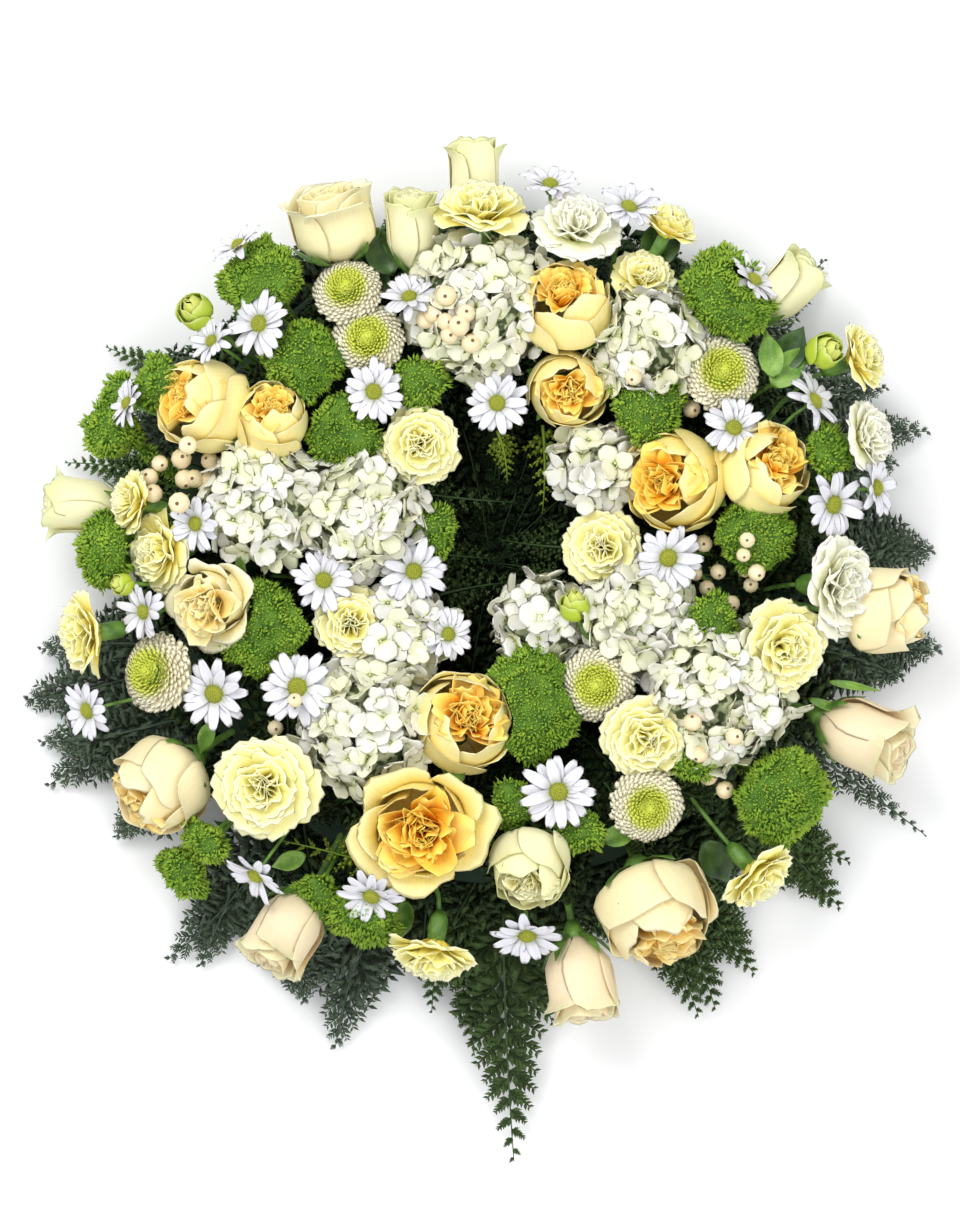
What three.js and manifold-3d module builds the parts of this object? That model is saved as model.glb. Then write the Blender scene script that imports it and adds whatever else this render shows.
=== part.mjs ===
// Funeral wreath of cut flowers and fern, lying on its back.
// A ring of wet floral foam sits in a plastic tray, and every bloom stands on its own stem in the foam.
// Millimetres, +Z up. The tray's underside is z = 0, and north is +Y. Places are counted from the
// middle of the foam ring until the last step moves the origin to the middle of the wreath's box.
import * as THREE from "three";
import { mergeVertices } from "three/addons/utils/BufferGeometryUtils.js";
import Module from "manifold-3d";

const wasm = await Module();
wasm.setup();

// ---- driving dimensions -------------------------------------------------------------------------

const GAP = 0.3; // clearance left between neighbouring pieces
const RING_RADIUS = 187; // centre line of the foam, from the middle of the wreath
const FOAM_WIDTH = 82;
const FOAM_HEIGHT = 58;
const FOAM_CHAMFER = 15;
const RING_SEGMENTS = 32;

const TRAY_WALL = 2.5;
const TRAY_FLOOR = 3;
const TRAY_HEIGHT = 22;
const TRAY_LIP = 4;

const FOOT_HEIGHT = 31; // stems start near the foam's centre line
const THIN_FOOT_HEIGHT = 20; // and the thin ones of the daisies and ferns are pushed deeper
const FOOT_REACH = 14; // and this far out from it, towards its bloom
const CROWN_BASE = 36; // height of the blooms' centres at the wreath's edge
const CROWN_RISE = 70; // how much higher they stand over the ring's centre line
const CROWN_OUTER = 132; // reach of the blooms outside that line
const CROWN_INNER = 178; // and inside it
const UPRIGHT_RADIUS = 150; // blooms here face straight up
const TILT_PER_MM = 0.6; // and lean outwards by this many degrees for each mm beyond
const LEAST_TILT = -20;
const MOST_TILT = 85;

const TRAY_GREEN = 0x1d3a24;
const FOAM_GREEN = 0x2f5a35;
const CREAM = 0xf3ead0;
const BUTTER = 0xf7e27e;
const AMBER = 0xf5a836;
const WHITE = 0xf1f1e4;
const LIME = 0x8fae4a;
const LEAF_GREEN = 0x5f9a26;
const FERN_GREEN = 0x2c4428;

// ---- bloom shapes -------------------------------------------------------------------------------

// profile: points from the base to the crown, as shares of half the bloom's width and of its height.
// lobes: how many times the rim waves, and how deep, as a share of the radius.
// lift: how far above the wreath's crown this kind stands.
const BLOOMS = {
  bud: {
    profile: [[0, 0], [0.5, 0.06], [0.92, 0.34], [0.84, 0.68], [1, 1], [0, 0.9]],
    lobes: [3, 0.05], sides: 8, stem: 3, lift: 0,
  },
  cup: {
    profile: [[0, 0], [0.5, 0.05], [0.94, 0.32], [0.98, 0.78], [0.7, 1], [0, 0.86]],
    lobes: [4, 0.04], sides: 9, stem: 3, lift: 0,
  },
  open: {
    profile: [[0, 0], [0.42, 0.06], [0.86, 0.4], [1, 0.78], [0.6, 1], [0, 0.9]],
    lobes: [5, 0.06], sides: 10, stem: 3, lift: 0,
  },
  carnation: {
    profile: [[0, 0], [0.24, 0.03], [0.28, 0.4], [1, 0.7], [0.66, 0.95], [0, 1]],
    lobes: [4, 0.05], sides: 9, stem: 2, lift: 0,
  },
  mum: {
    profile: [[0, 0], [0.3, 0.06], [1, 0.5], [0.66, 0.94], [0, 1]],
    lobes: [4, 0.02], sides: 8, stem: 2, lift: 8,
  },
  daisy: {
    profile: [[0, 0], [0.3, 0.16], [1, 0.44], [0.98, 0.66], [0.3, 1], [0, 1]],
    lobes: [4, 0.03], sides: 9, stem: 1.5, lift: 18,
  },
  hydrangea: {
    profile: [[0, 0], [0.25, 0.02], [0.84, 0.28], [1, 0.58], [0.6, 0.94], [0, 1]],
    lobes: [4, 0.06], sides: 9, stem: 3.5, lift: -5,
  },
  trachelium: {
    profile: [[0, 0], [0.16, 0.02], [0.86, 0.5], [0.96, 0.76], [0.5, 1], [0, 1]],
    lobes: [4, 0.08], sides: 8, stem: 2.2, lift: -6,
  },
};

// ---- what stands in the foam --------------------------------------------------------------------

// Each row is one stem. A branched stem has more than one bloom, and its branches leave the foam together.
// x, y: the middle of the bloom. wide, tall: its size. faces: the way it looks, in degrees from +X.
// tilt: how far it leans over from facing up. lift: how far it stands above its kind's usual height.
const STEMS = [
  // garden roses and hybrid roses
  ["rose_bud_north", "bud", CREAM, { x: -12, y: 270, wide: 36, tall: 62, tilt: 84, faces: 90 }],
  ["rose_cup_northwest", "cup", CREAM, { x: -111, y: 236, wide: 62, tall: 56, tilt: 72, faces: 108 }],
  ["rose_bud_northwest", "bud", CREAM, { x: -57, y: 230, wide: 38, tall: 60, tilt: 72, faces: 92 }],
  ["garden_rose_north", "cup", BUTTER, { x: 52, y: 176, wide: 64, tall: 58, tilt: 38, faces: 92, lift: 12 }],
  ["garden_rose_north_inner", "cup", AMBER, { x: 52, y: 118, wide: 56, tall: 48, tilt: 12, faces: 300, lift: 6 }],
  ["garden_rose_west_upper", "cup", BUTTER, { x: -202, y: 109, wide: 66, tall: 62, tilt: 46, faces: 165, lift: 4 }],
  ["garden_rose_west_inner", "cup", BUTTER, { x: -154, y: 99, wide: 52, tall: 50, tilt: 34, faces: 85, lift: 10 }],
  ["rose_bud_west", "bud", CREAM, { x: -289, y: 39, wide: 40, tall: 62, tilt: 84, faces: 174 }],
  ["rose_west", "open", CREAM, { x: -191, y: -27, wide: 64, tall: 48, tilt: 30, faces: 205, lift: 8 }],
  ["rose_cup_southwest", "cup", BUTTER, { x: -233, y: -157, wide: 66, tall: 68, tilt: 64, faces: 220 }],
  ["rose_bud_southwest", "bud", CREAM, { x: -144, y: -259, wide: 50, tall: 66, tilt: 72, faces: 238 }],
  ["garden_rose_south_inner", "cup", AMBER, { x: -20, y: -110, wide: 72, tall: 58, tilt: 20, faces: 40, lift: 6 }],
  ["garden_rose_south", "open", AMBER, { x: -48, y: -184, wide: 92, tall: 60, tilt: 10, faces: 270, lift: 8 }],
  ["rose_south", "cup", CREAM, { x: 27, y: -213, wide: 56, tall: 58, tilt: 46, faces: 262, lift: 6 }],
  ["rose_bud_south", "bud", CREAM, { x: 64, y: -294, wide: 50, tall: 66, tilt: 80, faces: 280 }],
  ["rose_cup_southeast", "cup", CREAM, { x: 115, y: -244, wide: 80, tall: 74, tilt: 58, faces: 292 }],
  ["garden_rose_east_inner", "open", AMBER, { x: 126, y: 55, wide: 70, tall: 56, tilt: 10, faces: 170, lift: 6 }],
  ["rose_cup_east_upper", "cup", BUTTER, { x: 190, y: 64, wide: 66, tall: 56, tilt: 42, faces: 30, lift: 4 }],
  ["rose_bud_east_lower", "bud", CREAM, { x: 260, y: -122, wide: 50, tall: 72, tilt: 68, faces: 335 }],
  ["rose_cup_east", "cup", CREAM, { x: 277, y: -34, wide: 62, tall: 66, tilt: 76, faces: 0 }],
  ["rose_bud_northeast", "bud", CREAM, { x: 209, y: 193, wide: 38, tall: 60, tilt: 80, faces: 45 }],

  // spray carnations
  ["carnations_north", "carnation", BUTTER,
    { x: -8, y: 238, wide: 64, tall: 52, tilt: 58, faces: 90, lift: 10 },
    { x: 59, y: 228, wide: 62, tall: 54, tilt: 46, faces: 78, lift: 4 }],
  ["carnations_northeast", "carnation", BUTTER,
    { x: 107, y: 197, wide: 46, tall: 46, tilt: 34, faces: 60 },
    { x: 124, y: 233, wide: 42, tall: 44, tilt: 74, faces: 62 }],
  ["carnations_east_upper", "carnation", CREAM,
    { x: 251, y: 140, wide: 52, tall: 46, tilt: 72, faces: 20 },
    { x: 256, y: 86, wide: 52, tall: 46, tilt: 62, faces: 12 }],
  ["carnations_east", "carnation", CREAM,
    { x: 238, y: -16, wide: 74, tall: 54, tilt: 58, faces: 358 },
    { x: 202, y: -60, wide: 64, tall: 50, tilt: 26, faces: 330, lift: 6 },
    { x: 79, y: 10, wide: 56, tall: 48, tilt: 8, faces: 180 }],
  ["carnations_southeast", "carnation", BUTTER,
    { x: 107, y: -121, wide: 64, tall: 50, tilt: 12, faces: 300 },
    { x: 181, y: -214, wide: 58, tall: 48, tilt: 74, faces: 312 }],
  ["carnations_southwest", "carnation", BUTTER,
    { x: -39, y: -266, wide: 62, tall: 50, tilt: 74, faces: 262 },
    { x: -158, y: -155, wide: 74, tall: 52, tilt: 14, faces: 225, lift: 4 }],
  ["carnations_west_inner", "carnation", BUTTER,
    { x: -99, y: -44, wide: 54, tall: 48, tilt: 6, faces: 20, lift: -6 },
    { x: -50, y: 83, wide: 56, tall: 48, tilt: 8, faces: 300 }],
  ["carnations_west", "carnation", BUTTER,
    { x: -229, y: 8, wide: 58, tall: 50, tilt: 48, faces: 186 },
    { x: -246, y: 44, wide: 46, tall: 44, tilt: 62, faces: 170 },
    { x: -276, y: -50, wide: 60, tall: 50, tilt: 68, faces: 190 }],

  // button chrysanthemums
  ["chrysanthemums_northwest", "mum", LIME,
    { x: -102, y: 192, wide: 50, tall: 34, tilt: 24, faces: 110 },
    { x: -85, y: 153, wide: 52, tall: 34, tilt: 8, faces: 120, lift: 4 }],
  ["chrysanthemums_southeast", "mum", LIME,
    { x: 74, y: -86, wide: 54, tall: 36, tilt: 8, faces: 200, lift: 2 },
    { x: 109, y: -172, wide: 53, tall: 34, tilt: 14, faces: 300 }],
  ["chrysanthemum_west", "mum", LIME, { x: -236, y: -78, wide: 58, tall: 40, tilt: 36, faces: 170, lift: -4 }],
  ["chrysanthemum_northeast", "mum", LIME, { x: 161, y: 133, wide: 56, tall: 36, tilt: 14, faces: 40, lift: 2 }],

  // daisies, in sprays
  ["daisies_north", "daisy", WHITE,
    { x: 41, y: 262, wide: 42, tall: 14, tilt: 80, faces: 84, lift: -12 },
    { x: 95, y: 246, wide: 44, tall: 14, tilt: 66, faces: 70, lift: -8 },
    { x: 183, y: 195, wide: 42, tall: 14, tilt: 80, faces: 48, lift: -10 }],
  ["daisies_northwest", "daisy", WHITE,
    { x: -161, y: 165, wide: 46, tall: 14, tilt: 30, faces: 150 },
    { x: -82, y: 118, wide: 44, tall: 14, tilt: 6, faces: 0 },
    { x: 4, y: 111, wide: 44, tall: 14, tilt: 10, faces: 270 }],
  ["daisies_east", "daisy", WHITE,
    { x: 170, y: 92, wide: 44, tall: 14, tilt: 20, faces: 60 },
    { x: 224, y: 111, wide: 44, tall: 14, tilt: 60, faces: 30, lift: -6 },
    { x: 239, y: 38, wide: 50, tall: 14, tilt: 36, faces: 350, lift: -2 },
    { x: 270, y: 54, wide: 44, tall: 14, tilt: 74, faces: 8, lift: -12 }],
  ["daisies_west", "daisy", WHITE,
    { x: -206, y: 28, wide: 40, tall: 14, tilt: 30, faces: 190, lift: 4 },
    { x: -241, y: -35, wide: 40, tall: 14, tilt: 46, faces: 190, lift: -6 },
    { x: -119, y: -14, wide: 44, tall: 14, tilt: 8, faces: 340 },
    { x: -55, y: -7, wide: 46, tall: 14, tilt: 12, faces: 20 }],
  ["daisies_southwest", "daisy", WHITE,
    { x: -282, y: -104, wide: 44, tall: 14, tilt: 74, faces: 196, lift: -10 },
    { x: -193, y: -93, wide: 50, tall: 14, tilt: 22, faces: 220 },
    { x: -134, y: -88, wide: 52, tall: 14, tilt: 6, faces: 90 }],
  ["daisies_south", "daisy", WHITE,
    { x: 48, y: -159, wide: 52, tall: 14, tilt: 10, faces: 280 },
    { x: -83, y: -232, wide: 46, tall: 14, tilt: 42, faces: 250, lift: -6 },
    { x: 25, y: -259, wide: 50, tall: 14, tilt: 62, faces: 268, lift: -6 }],

  // hydrangea heads, each of one or more mounds of florets
  ["hydrangea_north", "hydrangea", WHITE, { x: -8, y: 180, wide: 98, tall: 66, tilt: 6, lift: -2 }],
  ["hydrangea_northeast", "hydrangea", WHITE,
    { x: 110, y: 153, wide: 76, tall: 58, tilt: 8 },
    { x: 74, y: 66, wide: 54, tall: 50, tilt: 8, faces: 200 }],
  ["hydrangea_west", "hydrangea", WHITE,
    { x: -161, y: 41, wide: 82, tall: 62, tilt: 12, faces: 150, lift: 2 },
    { x: -92, y: 36, wide: 84, tall: 62, tilt: 6, faces: 30, lift: 2 }],
  ["hydrangea_southwest", "hydrangea", WHITE,
    { x: -64, y: -50, wide: 62, tall: 52, tilt: 6, faces: 20 },
    { x: -87, y: -115, wide: 88, tall: 64, tilt: 6, faces: 200 }],
  ["hydrangea_east", "hydrangea", WHITE,
    { x: 36, y: -44, wide: 58, tall: 50, tilt: 10, faces: 160 },
    { x: 104, y: -36, wide: 74, tall: 58, tilt: 4 },
    { x: 160, y: -92, wide: 98, tall: 64, tilt: 14, faces: 320 }],

  // green trachelium
  ["trachelium_northwest", "trachelium", LEAF_GREEN,
    { x: -159, y: 194, wide: 60, tall: 46, tilt: 44, faces: 128 },
    { x: -130, y: 139, wide: 56, tall: 44, tilt: 10, faces: 120 }],
  ["trachelium_west", "trachelium", LEAF_GREEN,
    { x: -265, y: 8, wide: 54, tall: 42, tilt: 66, faces: 180 },
    { x: -264, y: 92, wide: 42, tall: 36, tilt: 66, faces: 160 }],
  ["trachelium_west_inner", "trachelium", LEAF_GREEN, { x: -161, y: -46, wide: 66, tall: 48, tilt: 6 }],
  ["trachelium_south_inner", "trachelium", LEAF_GREEN,
    { x: 27, y: -100, wide: 82, tall: 56, tilt: 4, faces: 90 }],
  ["trachelium_northeast", "trachelium", LEAF_GREEN, { x: 163, y: 183, wide: 74, tall: 50, tilt: 44, faces: 50 }],
  ["trachelium_southeast", "trachelium", LEAF_GREEN, { x: 200, y: -162, wide: 72, tall: 50, tilt: 40, faces: 325 }],
  ["trachelium_east", "trachelium", LEAF_GREEN, { x: 182, y: 19, wide: 56, tall: 44, tilt: 16, faces: 0 }],
];

// Fern and cedar fans, that lie out from under the blooms. Each blade runs from the foam's edge to a tip at x, y.
const FERN_THICKNESS = 2.4;
const FERN_START = 214; // distance of a blade's butt from the middle of the wreath
const FERN_START_HEIGHT = 36;
const FERN_TIP_HEIGHT = 8;
const INNER_FERN_START = 160; // the same for a blade that reaches in over the hole
const INNER_FERN_TIP_HEIGHT = 31; // and it stays above the flower-free space under the hole
const FERN_STEM = 1.8;
const FERN_PINNAE = 5; // leaflets along each side of a blade
const FERNS = [
  ["fern_fan_west", { x: -328, y: -97, wide: 60 }, { x: -313, y: -158, wide: 56 },
    { x: -30, y: -2, wide: 78, from: 198 }],
  ["fern_fan_southwest", { x: -228, y: -280, wide: 56 }, { x: -110, y: -342, wide: 64 },
    { x: -22, y: -32, wide: 80, from: 236 }],
  ["fern_fan_south", { x: 16, y: -422, wide: 70 }, { x: -42, y: -318, wide: 46 },
    { x: 12, y: -27, wide: 72, from: 268 }],
  ["fern_fan_southeast", { x: 146, y: -320, wide: 62 }, { x: 246, y: -244, wide: 64 },
    { x: 48, y: -30, wide: 76, from: 304 }],
  ["fern_fan_east", { x: 316, y: -62, wide: 62 }, { x: 311, y: 8, wide: 54 },
    { x: 55, y: 14, wide: 78, from: 350 }],
  ["fern_fan_northeast", { x: 308, y: 92, wide: 46 }, { x: 236, y: 214, wide: 44 },
    { x: 54, y: 60, wide: 70, from: 38 }, { x: 30, y: 86, wide: 60, from: 74 }],
  ["fern_fan_northwest", { x: -272, y: 152, wide: 40 }, { x: -300, y: 70, wide: 40 },
    { x: -30, y: 52, wide: 80, from: 148 }, { x: -8, y: 86, wide: 60, from: 108 }],
];

// ---- solids -------------------------------------------------------------------------------------

// A closed geometry as a solid, with its shared vertices merged and its collapsed faces dropped.
function solidOf(geometry) {
  const bare = new THREE.BufferGeometry().setAttribute("position", geometry.getAttribute("position"));
  const merged = mergeVertices(geometry.index ? bare.setIndex(geometry.index).toNonIndexed() : bare, 1e-3);
  const corners = merged.index.array;
  const faces = [];
  for (let i = 0; i < corners.length; i += 3) {
    const [a, b, c] = [corners[i], corners[i + 1], corners[i + 2]];
    if (a !== b && b !== c && a !== c) faces.push(a, b, c);
  }
  const make = (triVerts) => new wasm.Manifold(
    new wasm.Mesh({ numProp: 3, vertProperties: merged.attributes.position.array, triVerts }),
  );
  const made = make(new Uint32Array(faces));
  return made.volume() > 0 ? made : make(new Uint32Array(faces.reverse()));
}

function geometryOf(solid) {
  const { vertProperties, triVerts } = solid.getMesh();
  const geometry = new THREE.BufferGeometry();
  geometry.setAttribute("position", new THREE.BufferAttribute(vertProperties, 3));
  geometry.setIndex(new THREE.BufferAttribute(triVerts, 1));
  geometry.computeVertexNormals();
  return geometry;
}

// A profile of [radius, height] pairs turned round +Z.
function turned(profile, sides) {
  const points = profile.map(([r, h]) => new THREE.Vector2(r, h));
  return new THREE.LatheGeometry(points, sides).rotateX(Math.PI / 2);
}

// Turns +Z to the axis and moves the origin to the place.
function standAt(geometry, place, axis) {
  const turn = new THREE.Quaternion().setFromUnitVectors(new THREE.Vector3(0, 0, 1), axis);
  return geometry.applyQuaternion(turn).translate(place.x, place.y, place.z);
}

// A round bar between two points.
function bar(from, to, radius, sides = 4) {
  const along = to.clone().sub(from);
  const geometry = new THREE.CylinderGeometry(radius, radius, along.length(), sides).rotateX(Math.PI / 2);
  const middle = from.clone().add(to).multiplyScalar(0.5);
  return standAt(geometry, middle, along.normalize());
}

// ---- the tray and the foam ----------------------------------------------------------------------

function foamProfile(grow) {
  const inner = RING_RADIUS - FOAM_WIDTH / 2 - grow;
  const outer = RING_RADIUS + FOAM_WIDTH / 2 + grow;
  const bottom = TRAY_FLOOR + GAP - grow;
  const top = TRAY_FLOOR + GAP + FOAM_HEIGHT + grow;
  return [
    [inner, bottom], [outer, bottom], [outer, top - FOAM_CHAMFER], [outer - FOAM_CHAMFER, top],
    [inner + FOAM_CHAMFER, top], [inner, top - FOAM_CHAMFER], [inner, bottom],
  ];
}

// A channel section with a lip turned out at each side.
function trayProfile(grow) {
  const inside = FOAM_WIDTH / 2 + GAP - grow;
  const outside = FOAM_WIDTH / 2 + GAP + TRAY_WALL + grow;
  const lip = outside + TRAY_LIP;
  const lipBottom = TRAY_HEIGHT - TRAY_FLOOR - grow;
  const top = TRAY_HEIGHT + grow;
  return [
    [-outside, -grow], [outside, -grow], [outside, lipBottom], [lip, lipBottom], [lip, top],
    [inside, top], [inside, TRAY_FLOOR + grow], [-inside, TRAY_FLOOR + grow], [-inside, top],
    [-lip, top], [-lip, lipBottom], [-outside, lipBottom], [-outside, -grow],
  ].map(([across, up]) => [RING_RADIUS + across, up]);
}

// ---- blooms and stems ---------------------------------------------------------------------------

// Height of the bloom centres over a place on the plan: half an ellipse over the foam.
function crownHeight(radius) {
  const share = (radius - RING_RADIUS) / (radius > RING_RADIUS ? CROWN_OUTER : CROWN_INNER);
  return CROWN_BASE + CROWN_RISE * Math.sqrt(Math.max(0, 1 - share * share));
}

function naturalTilt(radius) {
  return THREE.MathUtils.clamp((radius - UPRIGHT_RADIUS) * TILT_PER_MM, LEAST_TILT, MOST_TILT);
}

// Where a bloom's middle is and which way it looks.
function poseOf(kind, head) {
  const radius = Math.hypot(head.x, head.y);
  const tilt = THREE.MathUtils.degToRad(head.tilt ?? naturalTilt(radius));
  const faces = head.faces === undefined ? Math.atan2(head.y, head.x) : THREE.MathUtils.degToRad(head.faces);
  const axis = new THREE.Vector3(
    Math.sin(tilt) * Math.cos(faces), Math.sin(tilt) * Math.sin(faces), Math.cos(tilt),
  );
  const height = crownHeight(radius) + BLOOMS[kind].lift + (head.lift ?? 0);
  const middle = new THREE.Vector3(head.x, head.y, height);
  return { middle, axis };
}

// The bloom alone, swollen by grow on every side.
function bloom(kind, head, grow) {
  const { profile, lobes, sides } = BLOOMS[kind];
  const { middle, axis } = poseOf(kind, head);
  const sized = profile.map(([r, h]) => [
    r === 0 ? 0 : (r * head.wide) / 2 + grow,
    (h - 0.5) * head.tall + grow * (2 * h - 1),
  ]);
  const geometry = turned(sized, sides);
  const [waves, depth] = lobes;
  const at = geometry.getAttribute("position");
  for (let i = 0; i < at.count; i++) {
    const wave = 1 + depth * Math.cos(waves * Math.atan2(at.getY(i), at.getX(i)));
    at.setXY(i, at.getX(i) * wave, at.getY(i) * wave);
  }
  return solidOf(standAt(geometry, middle, axis));
}

// Where a stem with these blooms starts in the foam.
function footOf(places, height) {
  const mean = places.reduce((sum, p) => sum.add(p), new THREE.Vector3()).divideScalar(places.length);
  const core = new THREE.Vector3(mean.x, mean.y, 0).setLength(RING_RADIUS).setZ(height);
  return core.clone().add(mean.sub(core).setLength(FOOT_REACH));
}

function stemBars(foot, tops, radius) {
  return wasm.Manifold.union(tops.map((top) => solidOf(bar(foot, top, radius))));
}

// A blade with a saw edge, from its butt at the origin along +Y, thick in Z.
function bladeShape(length, wide) {
  const shape = new THREE.Shape().moveTo(-FERN_STEM, 0);
  const widthAt = (share) => (wide / 2) * Math.sin(Math.PI * Math.min(1, 0.18 + 0.82 * share) ** 0.8);
  const side = (sign, order) => order.forEach((i) => {
    const share = (i + 0.9) / (FERN_PINNAE + 0.6);
    const notch = [sign * widthAt(share) * 0.42, length * (share - 0.02)];
    const tip = [sign * widthAt(share), length * (share + 0.035)];
    (sign < 0 ? [notch, tip] : [tip, notch]).forEach(([x, y]) => shape.lineTo(x, y));
  });
  const up = [...Array(FERN_PINNAE).keys()];
  side(-1, up);
  shape.lineTo(0, length);
  side(1, up.toReversed());
  return shape.lineTo(FERN_STEM, 0).closePath();
}

function fernPlaces(tip) {
  const end = new THREE.Vector3(tip.x, tip.y, 0);
  if (tip.from === undefined) {
    return { start: end.clone().setLength(FERN_START).setZ(FERN_START_HEIGHT), end: end.setZ(FERN_TIP_HEIGHT) };
  }
  const angle = THREE.MathUtils.degToRad(tip.from);
  return {
    start: new THREE.Vector3(
      INNER_FERN_START * Math.cos(angle), INNER_FERN_START * Math.sin(angle), FERN_START_HEIGHT,
    ),
    end: end.setZ(INNER_FERN_TIP_HEIGHT),
  };
}

function blade(tip, grow) {
  const { start, end } = fernPlaces(tip);
  const along = end.clone().sub(start);
  const length = along.length();
  const depth = FERN_THICKNESS + 2 * grow;
  const geometry = new THREE.ExtrudeGeometry(bladeShape(length, tip.wide + 2 * grow), { depth, bevelEnabled: false })
    .translate(0, 0, -depth / 2);
  const forward = along.normalize();
  const across = forward.clone().cross(new THREE.Vector3(0, 0, 1)).normalize();
  const frame = new THREE.Matrix4().makeBasis(across, forward, across.clone().cross(forward));
  return solidOf(geometry.applyMatrix4(frame.setPosition(start)));
}

// ---- planting -----------------------------------------------------------------------------------

// Every row becomes its heads, the bars of its stem, and both again swollen by the clearance.
const planted = [
  ...STEMS.map(([name, kind, colour, ...heads]) => {
    const poses = heads.map((head) => poseOf(kind, head));
    const foot = footOf(poses.map((p) => p.middle), kind === "daisy" ? THIN_FOOT_HEIGHT : FOOT_HEIGHT);
    const tops = poses.map(({ middle, axis }, i) => middle.clone().addScaledVector(axis, -heads[i].tall / 5));
    return {
      name,
      colour,
      heads: heads.map((head) => bloom(kind, head, 0)),
      swollenHeads: heads.map((head) => bloom(kind, head, GAP)),
      stem: stemBars(foot, tops, BLOOMS[kind].stem),
      swollenStem: stemBars(foot, tops, BLOOMS[kind].stem + GAP),
    };
  }),
  ...FERNS.map(([name, ...tips]) => {
    const places = tips.map(fernPlaces);
    const foot = footOf(places.map((p) => p.start), THIN_FOOT_HEIGHT);
    const tops = places.map(({ start, end }) => start.clone().lerp(end, 0.2));
    return {
      name,
      colour: FERN_GREEN,
      heads: tips.map((tip) => blade(tip, 0)),
      swollenHeads: tips.map((tip) => blade(tip, GAP)),
      stem: stemBars(foot, tops, FERN_STEM),
      swollenStem: stemBars(foot, tops, FERN_STEM + GAP),
    };
  }),
];

const touches = (a, b) => {
  const [p, q] = [a.boundingBox(), b.boundingBox()];
  return [0, 1, 2].every((k) => p.min[k] < q.max[k] && q.min[k] < p.max[k]);
};

const without = (solid, cutters) => cutters.filter((c) => touches(solid, c))
  .reduce((left, cutter) => left.subtract(cutter), solid);

const largest = (solid) => solid.decompose().reduce((a, b) => (b.volume() > a.volume() ? b : a));

const wreath = new THREE.Group();

function addPiece(name, colour, roughness, solid) {
  const mesh = new THREE.Mesh(geometryOf(solid), new THREE.MeshStandardMaterial({ color: colour, roughness }));
  mesh.name = name;
  wreath.add(mesh);
}

const swollenFoam = solidOf(turned(foamProfile(GAP), RING_SEGMENTS));
const swollenTray = solidOf(turned(trayProfile(GAP), RING_SEGMENTS));

addPiece("foam_tray", TRAY_GREEN, 0.5, solidOf(turned(trayProfile(0), RING_SEGMENTS)));
addPiece("foam_ring", FOAM_GREEN, 0.95,
  without(solidOf(turned(foamProfile(0), RING_SEGMENTS)), planted.map((p) => p.swollenStem)));

// A bloom gives way to every other stem, to the foam and the tray, and to the blooms planted before it.
planted.forEach((plant, i) => {
  const cutters = [
    swollenFoam, swollenTray,
    ...planted.filter((other) => other !== plant).map((other) => other.swollenStem),
    ...planted.slice(0, i).flatMap((other) => other.swollenHeads),
  ];
  const heads = plant.heads.map((head) => without(head, cutters));
  addPiece(plant.name, plant.colour, 0.7, largest(wasm.Manifold.union([plant.stem, ...heads])));
});

// The frame's origin is the middle of the whole wreath's box, on the surface that it lies on.
const reach = new THREE.Box3().setFromObject(wreath).getCenter(new THREE.Vector3());
wreath.position.set(-reach.x, -reach.y, 0);

export default wreath;
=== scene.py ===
import bpy
import numpy as np
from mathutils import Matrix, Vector
from mathutils.bvhtree import BVHTree


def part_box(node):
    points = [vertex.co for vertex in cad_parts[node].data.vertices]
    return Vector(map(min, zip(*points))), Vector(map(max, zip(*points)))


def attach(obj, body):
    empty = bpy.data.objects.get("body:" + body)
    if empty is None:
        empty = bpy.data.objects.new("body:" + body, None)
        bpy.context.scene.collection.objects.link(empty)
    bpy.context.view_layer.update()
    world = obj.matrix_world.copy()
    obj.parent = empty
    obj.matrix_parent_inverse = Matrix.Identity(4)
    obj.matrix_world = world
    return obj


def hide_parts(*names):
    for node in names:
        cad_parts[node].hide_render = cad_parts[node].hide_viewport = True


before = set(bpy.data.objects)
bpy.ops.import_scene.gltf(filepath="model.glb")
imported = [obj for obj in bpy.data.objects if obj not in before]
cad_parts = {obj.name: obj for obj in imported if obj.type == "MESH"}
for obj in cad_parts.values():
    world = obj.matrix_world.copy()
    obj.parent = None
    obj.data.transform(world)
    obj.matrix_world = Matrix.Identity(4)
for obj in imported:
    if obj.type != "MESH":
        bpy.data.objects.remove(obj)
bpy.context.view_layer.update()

# ---- where the wreath lies, the camera, the table and the lamps --------------------------------------
# The wreath lies on its back on a pale table, and the camera looks straight down on its face.
# Places are counted in millimetres from the middle of the foam ring, and heights from the table.

MM = 0.001
rng = np.random.default_rng(7)
tray_low, tray_high = (np.array(corner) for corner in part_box("foam_tray"))
ring_middle = (tray_low + tray_high)[:2] / 2


def on_plan(x, y):
    """A place on the plan, in metres."""
    return ring_middle + np.array([x, y]) * MM


camera_height, bloom_height, framed_length = 5.0, 0.1, 0.844
camera_data = bpy.data.cameras.new("camera")
camera_data.lens = camera_data.sensor_width * (camera_height - bloom_height) / framed_length
camera = bpy.data.objects.new("camera", camera_data)
camera.location = (*on_plan(-8, -29), camera_height)
bpy.context.collection.objects.link(camera)
bpy.context.scene.camera = camera
bpy.context.scene.view_settings.view_transform = "Standard"

world = bpy.data.worlds.new("studio")
world.use_nodes = True
daylight = world.node_tree.nodes["Background"].inputs
daylight["Color"].default_value = (0.96, 0.98, 1, 1)
daylight["Strength"].default_value = 0.93
bpy.context.scene.world = world

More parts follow.
